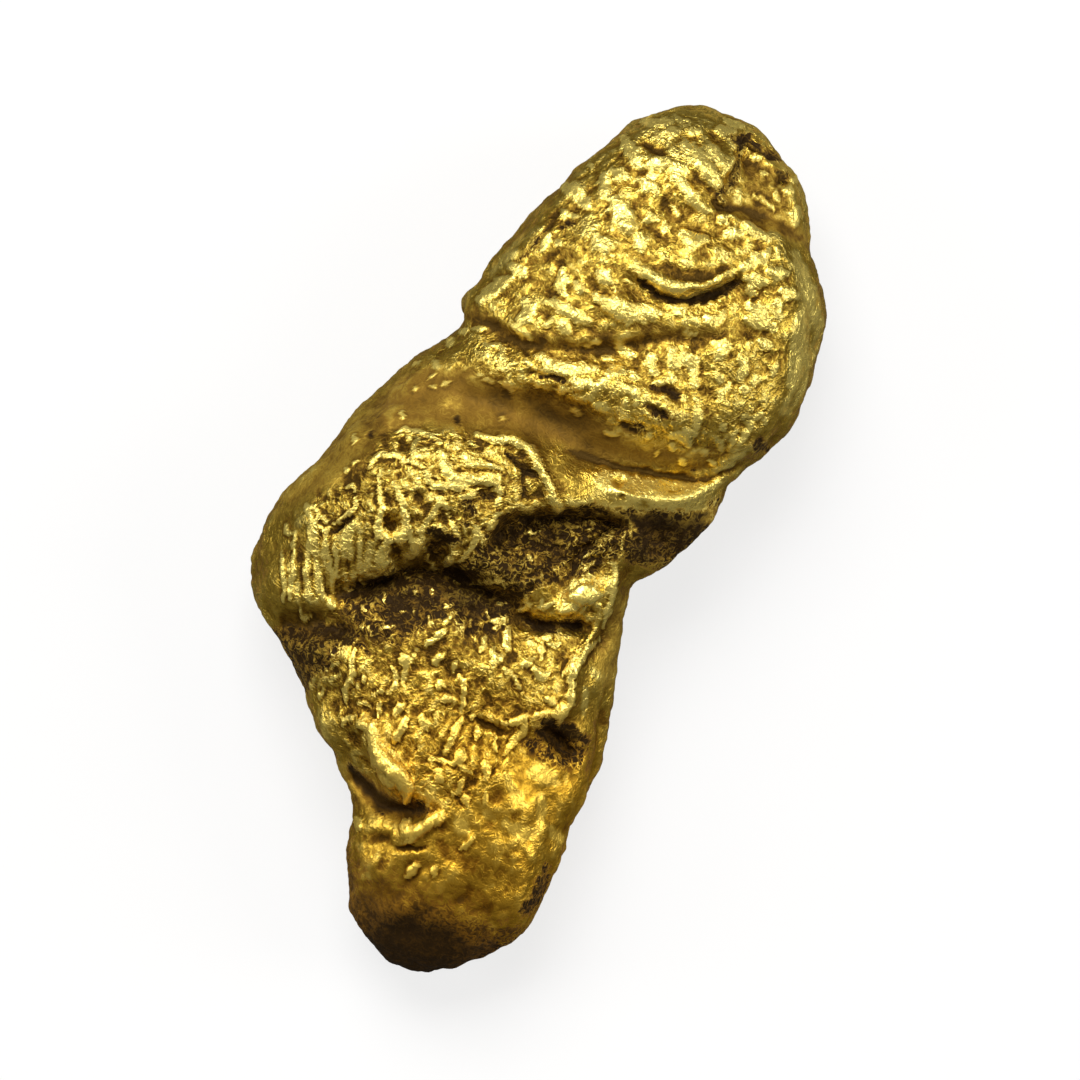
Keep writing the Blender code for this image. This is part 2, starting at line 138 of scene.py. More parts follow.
# Thin rolls of metal, worn bright along their crests, partly a painted highlight: half width, points (x, y)
ROLLS = [
    # the bulge's rim and its net of walls
    (0.08, [(-1.25, 1.15), (-0.95, 1.2), (-0.55, 1.34), (-0.15, 1.3), (0.2, 1.02), (0.55, 0.8)]),
    (0.09, [(0.62, 0.68), (0.8, 0.5)]), (0.06, [(0.18, 0.16), (0.36, 0.3)]),
    (0.05, [(-1.35, 0.95), (-1.2, 0.88)]),
    (0.055, [(-2.76, 0.5), (-2.6, 0.65), (-2.35, 0.68), (-2.1, 0.72), (-1.85, 0.7)]),
    (0.08, [(-1.38, 0.68), (-1.15, 0.6), (-0.9, 0.66), (-0.6, 0.72)]),
    (0.12, [(-1.75, 0.5), (-1.55, 0.3), (-1.35, 0.16), (-1.0, 0.3), (-0.6, 0.45), (-0.35, 0.3)]),
    (0.09, [(-1.85, 0.0), (-1.6, -0.12), (-1.3, 0.02), (-1.0, 0.12)]),
    (0.07, [(-1.0, -0.12), (-0.85, 0.02), (-0.8, 0.14)]),
    (0.055, [(-2.9, -0.3), (-2.88, -0.12), (-2.72, 0.02), (-2.35, 0.1), (-1.95, 0.1)]),
    (0.06, [(-2.68, -0.3), (-2.55, -0.66), (-2.34, -0.95), (-2.3, -1.3), (-2.2, -1.48), (-2.0, -1.5)]),
    (0.065, [(-2.36, -0.42), (-2.15, -0.56), (-1.95, -0.8), (-1.72, -1.1), (-1.5, -1.35), (-1.42, -1.6)]),
    (0.055, [(-1.65, -1.28), (-1.85, -1.4), (-2.0, -1.58)]),
    (0.075, [(-2.04, -1.64), (-1.93, -1.88), (-1.84, -2.1)]),
    (0.06, [(-1.4, -0.28), (-1.42, -0.6), (-1.42, -0.95)]), (0.05, [(-1.36, -0.28), (-1.22, -0.48)]),
    (0.05, [(-1.2, -0.36), (-1.05, -0.6), (-0.85, -0.75), (-0.65, -0.95)]),
    (0.06, [(-0.56, -0.5), (-0.36, -0.62)]), (0.055, [(-0.22, -0.06), (-0.26, -0.42)]),
    (0.055, [(-0.35, -0.6), (-0.43, -0.88), (-0.48, -1.25)]), (0.06, [(-0.68, -1.24), (-0.76, -1.46)]),
    (0.05, [(-1.26, -1.3), (-1.15, -1.5), (-0.9, -1.56)]),
    (0.05, [(-0.3, 0.0), (-0.35, 0.25), (-0.5, 0.3)]),
    (0.05, [(-2.3, 0.55), (-2.25, 0.3), (-2.1, 0.25), (-1.95, 0.4)]),
    # the bulge's outer facets
    (0.045, [(-3.16, -0.9), (-3.08, -0.8), (-2.96, -0.86)]),
    (0.045, [(-2.92, -1.0), (-2.84, -1.2), (-3.06, -1.62)]),
    (0.05, [(-3.45, -1.78), (-3.62, -1.7), (-3.7, -1.56), (-3.5, -1.54), (-3.44, -1.72)]),
    (0.045, [(-3.5, -1.82), (-3.2, -1.84), (-3.12, -1.72)]), (0.045, [(-3.4, -1.64), (-3.2, -1.68)]),
    (0.045, [(-3.15, -1.95), (-3.0, -2.16), (-2.8, -2.45), (-2.65, -2.62), (-2.58, -2.9)]),
    (0.04, [(-2.94, -1.95), (-2.75, -2.3), (-2.6, -2.6)]),
    (0.05, [(-3.95, -2.05), (-3.88, -2.2), (-3.72, -2.15)]),
    (0.05, [(-3.7, -2.2), (-3.5, -2.75), (-3.38, -3.1), (-3.28, -3.4)]),
    (0.08, [(-3.26, -2.74), (-3.14, -2.86)]),
    (0.045, [(-3.8, -2.6), (-3.65, -2.9), (-3.5, -3.15), (-3.35, -3.5)]),
    (0.05, [(-2.9, -2.74), (-2.76, -2.95), (-2.66, -3.1)]), (0.09, [(-2.56, -3.06), (-2.42, -3.16)]),
    (0.045, [(-2.42, -2.78), (-2.2, -2.7)]), (0.05, [(-2.2, -2.42), (-2.04, -2.5)]),
    (0.06, [(-2.98, -3.5), (-2.85, -3.6), (-2.74, -3.5)]), (0.05, [(-3.26, -0.42), (-3.18, -0.34)]),
    (0.045, [(-3.34, -0.54), (-3.24, -0.6)]), (0.05, [(-3.46, 0.1), (-3.4, 0.0)]),
    (0.05, [(-2.8, 0.92), (-2.74, 0.84)]),
    # the facet below the hollow, the strip between hollow and cleft, and the right rim
    (0.16, [(1.8, -0.95), (2.2, -0.7)]), (0.10, [(1.74, -1.3), (1.96, -1.1)]),
    (0.07, [(2.36, -0.5), (2.42, -0.4)]),
    (0.045, [(-0.15, -1.56), (0.15, -1.4), (0.35, -1.28), (0.6, -1.36)]),
    (0.05, [(2.2, 0.0), (2.4, -0.2), (2.5, -0.5), (2.55, -0.9), (2.6, -1.3)]),
    (0.065, [(2.66, -1.5), (2.54, -1.72), (2.46, -2.2), (2.5, -2.5), (2.64, -2.8), (2.66, -3.05),
             (2.58, -3.34)]),
    (0.045, [(2.36, -2.05), (2.3, -2.45)]), (0.045, [(1.78, -0.36), (1.9, -0.14)]),
    (0.045, [(0.45, -0.2), (0.62, -0.1)]), (0.05, [(0.66, -0.66), (0.72, -0.58)]),
    (0.045, [(1.84, -0.42), (2.02, -0.42)]),
    # the lobe
    (0.05, [(-0.28, -2.1), (-0.4, -2.26)]), (0.05, [(-0.22, -2.34), (-0.28, -2.5)]),
    (0.04, [(-1.75, -2.1), (-1.65, -2.2)]), (0.04, [(-1.4, -2.02), (-1.3, -1.95)]),
    (0.04, [(-1.1, -2.2), (-0.95, -2.3)]), (0.04, [(-0.8, -2.0), (-0.7, -2.1)]),
    (0.045, [(-0.5, -1.75), (-0.35, -1.72)]), (0.04, [(-1.6, -2.5), (-1.5, -2.65)]),
    (0.04, [(-1.2, -2.7), (-1.0, -2.65)]), (0.04, [(-0.9, -2.5), (-0.85, -2.65)]),
    (0.05, [(-0.6, -2.5), (-0.5, -2.7)]), (0.04, [(-1.9, -2.9), (-1.8, -3.0)]),
    (0.04, [(0.1, -2.2), (0.2, -2.35)]), (0.04, [(0.35, -1.95), (0.45, -2.05)]),
    (0.04, [(-1.3, -3.1), (-1.15, -3.0)]), (0.04, [(-1.6, -3.2), (-1.5, -3.3)]),
    (0.04, [(0.5, -1.72), (0.7, -1.66)]), (0.08, [(-0.22, -2.65), (-0.3, -2.85), (-0.4, -3.02)]),
    (0.08, [(-0.04, -3.05), (-0.12, -3.32)]), (0.06, [(0.25, -3.12), (0.28, -3.32)]),
    (0.09, [(0.58, -2.06), (0.76, -1.98), (0.66, -2.2)]),
    (0.08, [(0.9, -2.1), (1.0, -2.3), (1.1, -2.48)]),
    (0.08, [(0.82, -2.58), (0.94, -2.76), (1.06, -2.6)]), (0.06, [(0.6, -2.44), (0.6, -2.72)]),
    (0.06, [(0.94, -1.34), (1.1, -1.5), (0.95, -1.66)]), (0.045, [(1.3, -1.28), (1.34, -1.46)]),
    (0.05, [(1.52, -1.22), (1.42, -1.46)]), (0.05, [(1.18, -2.84), (1.3, -2.86)]),
    (0.045, [(1.34, -2.88), (1.54, -2.98), (1.72, -3.1)]), (0.07, [(1.5, -2.62), (1.62, -2.44)]),
    (0.08, [(1.74, -2.6), (1.9, -2.66), (2.02, -2.54)]), (0.06, [(1.76, -2.32), (1.66, -2.1)]),
    (0.06, [(1.64, -1.96), (1.76, -1.84)]), (0.05, [(1.96, -1.94), (1.8, -2.06)]),
    (0.10, [(2.2, -3.04), (2.4, -3.06)]), (0.06, [(2.32, -3.3), (2.14, -3.4)]),
    (0.08, [(2.0, -3.5), (1.85, -3.66), (1.64, -3.82)]),
    (0.07, [(1.98, -3.5), (2.05, -3.8), (1.96, -4.0), (1.9, -4.4)]), (0.09, [(0.1, -3.7), (0.22, -3.64)]),
    (0.06, [(0.42, -3.3), (0.6, -3.48), (0.7, -3.7), (0.76, -3.92)]),
    (0.09, [(0.34, -3.9), (0.5, -3.78)]), (0.07, [(0.8, -4.08), (0.82, -4.35), (0.88, -4.62)]),
    (0.05, [(0.98, -3.92), (1.02, -4.0)]), (0.06, [(1.2, -4.1), (1.26, -4.32)]),
    (0.05, [(1.6, -4.18), (1.72, -4.42)]), (0.09, [(-0.76, -3.44), (-0.64, -3.6)]),
    (0.06, [(-0.86, -3.74), (-0.7, -3.85), (-0.65, -4.05), (-0.7, -4.26)]),
    (0.05, [(-0.96, -4.4), (-0.8, -4.26)]), (0.05, [(-0.54, -3.2), (-0.58, -3.7), (-0.5, -4.0)]),
    (0.09, [(-0.34, -4.34), (-0.4, -4.56)]), (0.08, [(-0.14, -4.58), (-0.15, -4.85), (-0.2, -5.06)]),
    (0.09, [(0.08, -4.38), (0.3, -4.56)]), (0.06, [(0.34, -4.18), (0.36, -4.32)]),
    (0.06, [(0.86, -4.5), (0.8, -4.85)]), (0.10, [(1.1, -4.68), (1.16, -4.86)]),
    (0.05, [(0.58, -5.06), (0.9, -5.0), (1.2, -4.94), (1.5, -4.96)]),
    (0.08, [(0.82, -5.24), (1.02, -5.36)]), (0.07, [(1.4, -5.14), (1.4, -5.35), (1.3, -5.52)]),
    (0.09, [(1.58, -4.74), (1.7, -4.8), (1.76, -4.96)]), (0.05, [(1.9, -5.22), (1.96, -5.42)]),
    (0.06, [(1.56, -5.44), (1.66, -5.62)]), (0.045, [(0.3, -5.02), (0.34, -4.88)]),
    (0.055, [(-1.65, -3.75), (-1.6, -4.0), (-1.5, -4.2), (-1.48, -4.55), (-1.36, -4.76)]),
    (0.05, [(-2.06, -3.98), (-2.0, -4.06)]), (0.045, [(-2.0, -4.36), (-1.84, -4.1)]),
    (0.045, [(-1.86, -4.5), (-1.7, -4.3)]), (0.07, [(-1.26, -4.16), (-1.22, -4.24)]),
    (0.05, [(-1.32, -4.36), (-1.28, -4.44)]), (0.05, [(-0.95, -4.6), (-1.16, -4.66)]),
    (0.05, [(-0.72, -4.52), (-0.7, -4.72)]), (0.05, [(-2.2, -4.6), (-2.1, -4.76)]),
    (0.05, [(-1.9, -4.74), (-1.88, -4.96)]), (0.045, [(-1.26, -5.22), (-1.2, -5.05), (-1.04, -4.94)]),
    (0.07, [(-0.96, -5.06), (-0.75, -5.05), (-0.7, -4.9)]),
    (0.08, [(-0.68, -4.95), (-0.6, -5.2), (-0.45, -5.4), (-0.3, -5.5)]),
    (0.13, [(-0.32, -5.56), (0.0, -5.56), (0.3, -5.66), (0.45, -5.8), (0.52, -5.96)]),
    (0.08, [(-0.2, -5.7), (0.15, -5.86)]),
    # below the fold
    (0.08, [(1.3, -6.0), (1.15, -6.1), (1.1, -6.35), (1.0, -6.55), (0.9, -6.76)]),
    (0.06, [(1.32, -6.0), (1.25, -6.22)]), (0.08, [(0.68, -6.52), (0.76, -6.4)]),
    (0.06, [(2.06, -6.12), (2.02, -6.3), (1.92, -6.46)]), (0.11, [(1.25, -7.14), (1.2, -7.36)]),
    (0.07, [(1.62, -6.96), (1.66, -7.16)]), (0.08, [(-0.16, -6.78), (-0.05, -6.96)]),
]
# Grains that stand on the upper face, rubbed bright on top, partly a painted highlight: half width, points
# (x, y)
GRAINS = [
    # the top
    (0.10, [(-0.86, 8.2), (-0.55, 8.32), (-0.42, 8.36)]), (0.08, [(-0.42, 8.15), (-0.15, 8.28)]),
    (0.06, [(0.0, 8.2), (0.03, 8.06), (0.15, 8.05), (0.2, 8.18)]), (0.08, [(0.05, 8.42), (0.2, 8.45)]),
    (0.12, [(0.3, 8.12), (0.5, 7.92), (0.72, 7.78), (0.95, 7.66)]), (0.11, [(0.5, 8.2), (0.85, 8.08)]),
    (0.10, [(0.5, 8.68), (0.78, 8.76)]), (0.07, [(0.55, 8.9), (0.9, 8.96)]),
    (0.12, [(-1.05, 7.7), (-0.8, 7.5), (-0.58, 7.33)]), (0.11, [(-0.45, 7.42), (-0.12, 7.62)]),
    (0.09, [(0.1, 7.42), (0.4, 7.36), (0.7, 7.15), (0.98, 7.1)]), (0.11, [(-1.0, 7.0), (-0.72, 7.05)]),
    (0.11, [(-0.5, 7.08), (-0.1, 7.02)]), (0.05, [(-0.45, 7.15), (-0.3, 7.2), (-0.2, 7.33)]),
    (0.07, [(1.34, 8.5), (1.48, 8.52)]), (0.06, [(1.64, 8.3), (1.76, 8.28)]),
    (0.08, [(2.14, 8.18), (2.36, 8.22)]), (0.06, [(2.08, 8.0), (2.2, 7.94)]),
    (0.05, [(1.7, 7.8), (2.0, 7.77), (2.2, 7.72)]), (0.09, [(1.38, 7.72), (1.5, 7.5)]),
    (0.10, [(2.58, 7.92), (2.66, 7.64)]), (0.06, [(2.3, 8.42), (2.4, 8.6)]),
    (0.06, [(-1.48, 6.98), (-1.4, 6.92)]),
    # the plate's left part
    (0.13, [(-1.78, 6.4), (-1.5, 6.32), (-1.2, 6.2)]), (0.11, [(-1.12, 6.85), (-0.92, 6.5)]),
    (0.18, [(-0.72, 6.5), (-0.48, 6.3), (-0.2, 6.2)]), (0.10, [(-0.05, 6.42), (0.1, 6.5)]),
    (0.12, [(0.0, 6.05), (0.15, 5.85)]), (0.09, [(0.32, 6.5), (0.42, 6.35)]),
    (0.05, [(0.3, 6.9), (0.5, 6.8)]), (0.12, [(-0.75, 5.66), (-0.42, 5.58)]),
    (0.07, [(-1.62, 5.9), (-1.48, 5.78)]), (0.08, [(-1.65, 5.35), (-1.62, 5.05)]),
    (0.10, [(-0.4, 5.1), (-0.18, 5.0)]), (0.05, [(0.08, 5.15), (0.25, 5.18)]),
    (0.12, [(-1.08, 4.8), (-0.92, 4.42)]), (0.09, [(-0.72, 4.7), (-0.6, 4.6)]),
    (0.15, [(-0.2, 4.6), (0.35, 4.6), (0.9, 4.82)]), (0.10, [(-2.0, 4.5), (-1.72, 4.42)]),
    (0.11, [(-1.95, 4.25), (-2.15, 3.95), (-2.3, 3.6)]), (0.05, [(-1.45, 5.88), (-1.25, 5.9)]),
    (0.05, [(-1.45, 5.3), (-1.3, 5.25)]), (0.11, [(-1.5, 3.95), (-1.32, 3.75), (-1.42, 3.55)]),
    (0.05, [(-0.85, 3.88), (-0.92, 3.65)]), (0.09, [(-0.68, 3.85), (-0.5, 3.75)]),
    (0.11, [(-0.8, 4.12), (-0.2, 4.1)]), (0.05, [(-1.5, 3.42), (-1.1, 3.36)]),
    (0.08, [(-1.06, 4.15), (-0.9, 4.2)]),
    # the plate's right part
    (0.07, [(1.3, 7.1), (1.42, 7.05)]), (0.07, [(1.75, 7.17), (2.05, 7.12), (2.35, 7.08)]),
    (0.09, [(1.5, 6.85), (1.78, 6.98)]), (0.12, [(0.75, 6.5), (0.95, 6.42), (1.2, 6.55)]),
    (0.11, [(2.12, 6.38), (2.28, 6.6), (2.4, 6.85)]), (0.12, [(2.68, 6.5), (2.9, 6.62)]),
    (0.13, [(2.3, 6.25), (2.6, 6.28)]), (0.10, [(2.4, 6.05), (2.55, 6.0)]),
    (0.10, [(3.0, 6.28), (3.3, 6.32)]), (0.08, [(3.0, 6.1), (3.1, 6.0)]),
    (0.12, [(2.5, 5.78), (2.75, 5.72), (2.9, 5.52), (2.62, 5.48)]), (0.08, [(3.05, 5.85), (3.2, 5.8)]),
    (0.07, [(3.1, 5.57), (3.22, 5.55)]), (0.09, [(3.05, 5.2), (3.22, 5.2)]),
    (0.08, [(2.1, 5.4), (2.12, 5.22), (1.85, 5.17)]), (0.08, [(1.35, 5.2), (1.35, 5.08), (1.12, 5.05)]),
    (0.07, [(1.62, 4.7), (1.8, 4.78)]),
    (0.06, [(0.35, 5.45), (0.75, 5.4), (1.2, 5.4), (1.5, 5.62), (1.8, 5.95), (1.96, 6.14)]),
    # the band
    (0.09, [(2.22, 4.78), (2.45, 4.82), (2.4, 4.55)]), (0.06, [(2.85, 5.1), (2.88, 5.0)]),
    (0.09, [(2.8, 4.72), (2.95, 4.62), (2.95, 4.4)]), (0.07, [(3.52, 4.95), (3.55, 4.7)]),
    (0.07, [(3.3, 4.55), (3.25, 4.4)]), (0.08, [(3.12, 4.2), (3.2, 4.27)]),
    (0.06, [(-0.1, 3.7), (0.0, 3.7)]), (0.05, [(0.3, 3.57), (0.5, 3.62)]),
    (0.05, [(0.05, 3.82), (0.2, 3.88)]), (0.09, [(0.5, 3.95), (0.85, 3.85)]),
    (0.10, [(-0.78, 3.08), (-0.35, 3.02), (0.05, 3.2), (0.3, 3.3)]),
    (0.10, [(0.6, 3.2), (0.65, 3.45), (0.85, 3.5)]), (0.06, [(0.25, 3.0), (0.5, 3.05), (0.62, 3.15)]),
    (0.05, [(-0.72, 2.72), (-0.42, 2.9), (-0.2, 2.96)]), (0.07, [(-1.02, 2.9), (-0.9, 2.83)]),
    (0.08, [(0.02, 2.92), (0.2, 2.88)]), (0.07, [(-0.02, 2.75), (-0.15, 2.6)]),
    (0.06, [(-0.62, 2.58), (-0.55, 2.55)]),
    (0.05, [(-1.85, 2.82), (-1.6, 2.95), (-1.45, 2.78), (-1.35, 2.55), (-1.2, 2.72)]),
    (0.06, [(-2.52, 2.5), (-2.5, 2.68)]), (0.06, [(-2.4, 2.85), (-2.3, 2.95)]),
    (0.06, [(-2.2, 3.05), (-2.0, 3.12)]), (0.06, [(-2.65, 2.12), (-2.55, 2.05)]),
    (0.04, [(-2.98, 1.85), (-2.9, 1.98)]), (0.04, [(-2.78, 1.42), (-2.74, 1.5)]),
    (0.045, [(-2.52, 1.62), (-2.4, 1.7)]), (0.05, [(-2.32, 1.76), (-2.2, 1.86)]),
    (0.035, [(-2.6, 1.8), (-2.55, 1.88)]), (0.045, [(-1.62, 2.2), (-1.42, 2.25)]),
    (0.045, [(-1.3, 2.32), (-1.12, 2.3), (-1.0, 2.2)]), (0.05, [(-1.75, 2.25), (-1.68, 2.25)]),
    (0.05, [(0.22, 2.42), (0.4, 2.38)]), (0.045, [(-0.98, 1.68), (-0.9, 1.65)]),
    (0.10, [(1.52, 4.28), (1.68, 4.08), (1.9, 4.3), (2.08, 4.12), (2.2, 3.88)]),
    (0.09, [(1.2, 4.02), (1.32, 3.8)]), (0.06, [(1.5, 3.55), (1.62, 3.64)]),
    (0.05, [(2.08, 3.58), (2.18, 3.52)]), (0.07, [(0.98, 3.55), (1.15, 3.5)]),
    (0.06, [(1.0, 3.22), (1.2, 3.25), (1.3, 3.05)]), (0.06, [(1.38, 3.72), (1.44, 3.78)]),
    (0.05, [(1.7, 3.85), (1.8, 3.75)]), (0.07, [(2.45, 3.48), (2.55, 3.3), (2.62, 3.0)]),
    (0.09, [(2.25, 2.78), (2.45, 2.9), (2.62, 2.75)]), (0.06, [(2.3, 2.6), (2.38, 2.55)]),
    (0.06, [(2.55, 4.28), (2.65, 4.15)]), (0.05, [(2.87, 4.22), (2.8, 4.0), (2.76, 3.78)]),
    (0.06, [(3.5, 3.75), (3.55, 3.5), (3.52, 3.2)]), (0.05, [(3.32, 3.75), (3.4, 3.65)]),
    (0.045, [(3.35, 3.4), (3.4, 3.1)]), (0.05, [(3.05, 3.42), (3.1, 3.32)]),
    (0.05, [(3.08, 3.12), (3.3, 2.92)]), (0.06, [(2.92, 2.82), (3.0, 2.72)]),
    (0.06, [(3.15, 2.65), (3.25, 2.65)]), (0.045, [(2.58, 2.42), (2.72, 2.38)]),
    (0.045, [(1.82, 2.62), (1.82, 2.52)]), (0.07, [(0.6, 2.72), (0.8, 2.7)]),
    (0.045, [(1.0, 2.25), (1.25, 2.3)]), (0.045, [(2.1, 2.4), (2.15, 2.3)]),
    (0.05, [(3.65, 3.95), (3.6, 3.75)]), (0.05, [(3.75, 3.87), (3.82, 3.8)]),
]
# Broad patches that don't stand out, rubbed and painted brighter as a sheen: strength, half width, points
# (x, y)
RUBS_AND_SHEENS = [
    (0.36, 0.22, [(3.6, 6.6), (3.95, 5.8), (4.1, 5.0), (4.1, 4.2)]),
    (0.50, 0.20, [(2.95, 7.1), (3.3, 6.7), (3.55, 6.3), (3.72, 5.7), (3.85, 5.2), (3.95, 4.75)]),
    (0.28, 0.24, [(1.4, 1.46), (2.0, 1.5), (2.6, 1.8), (3.1, 2.1), (3.45, 2.6), (3.65, 3.0)]),
    (0.62, 0.34, [(1.7, -1.1), (2.0, -0.8), (2.3, -0.5)]),
    (0.30, 0.26, [(-2.1, 0.35), (-1.5, 0.2), (-1.0, 0.45), (-0.6, 0.65)]),
    (0.60, 0.20, [(-0.9, -4.9), (-0.5, -5.25), (0.0, -5.5), (0.5, -5.9)]),
    (0.25, 0.16, [(0.85, -6.8), (1.3, -6.0)]), (0.40, 0.16, [(2.5, -4.5), (2.8, -4.4), (3.1, -4.46)]),
    (0.35, 0.06, [(3.2, -4.2), (3.26, -4.42)]), (0.35, 0.12, [(2.1, -4.75), (2.4, -5.0), (2.7, -5.12)]),
    (0.35, 0.10, [(2.9, -4.8), (3.05, -5.1), (3.15, -5.42)]),
    (0.40, 0.14, [(2.5, -5.6), (2.9, -5.66), (3.1, -5.5)]), (0.45, 0.14, [(3.4, -5.36), (3.6, -5.46)]),
    (0.30, 0.10, [(2.05, -5.6), (2.3, -5.66)]), (0.35, 0.12, [(1.6, -6.0), (1.86, -6.06)]),
    (0.30, 0.12, [(3.12, -7.58), (3.22, -7.66)]), (0.30, 0.09, [(2.84, -6.84), (2.7, -6.96)]),
    (0.45, 0.09, [(2.82, -2.5), (3.02, -3.0)]), (0.30, 0.09, [(2.74, -2.1), (2.96, -2.22)]),
    (0.35, 0.13, [(0.3, -7.6), (0.5, -7.76)]), (0.30, 0.08, [(0.48, -7.26), (0.52, -7.34)]),
    (0.30, 0.10, [(-2.1, 5.1), (-2.25, 4.5), (-2.38, 4.1)]),
    (0.25, 0.10, [(-0.45, -4.75), (-0.3, -5.15)]), (0.25, 0.08, [(0.05, -7.22), (0.1, -7.32)]),
    (0.20, 0.3, [(0.6, -5.6), (1.2, -5.8)]),
]
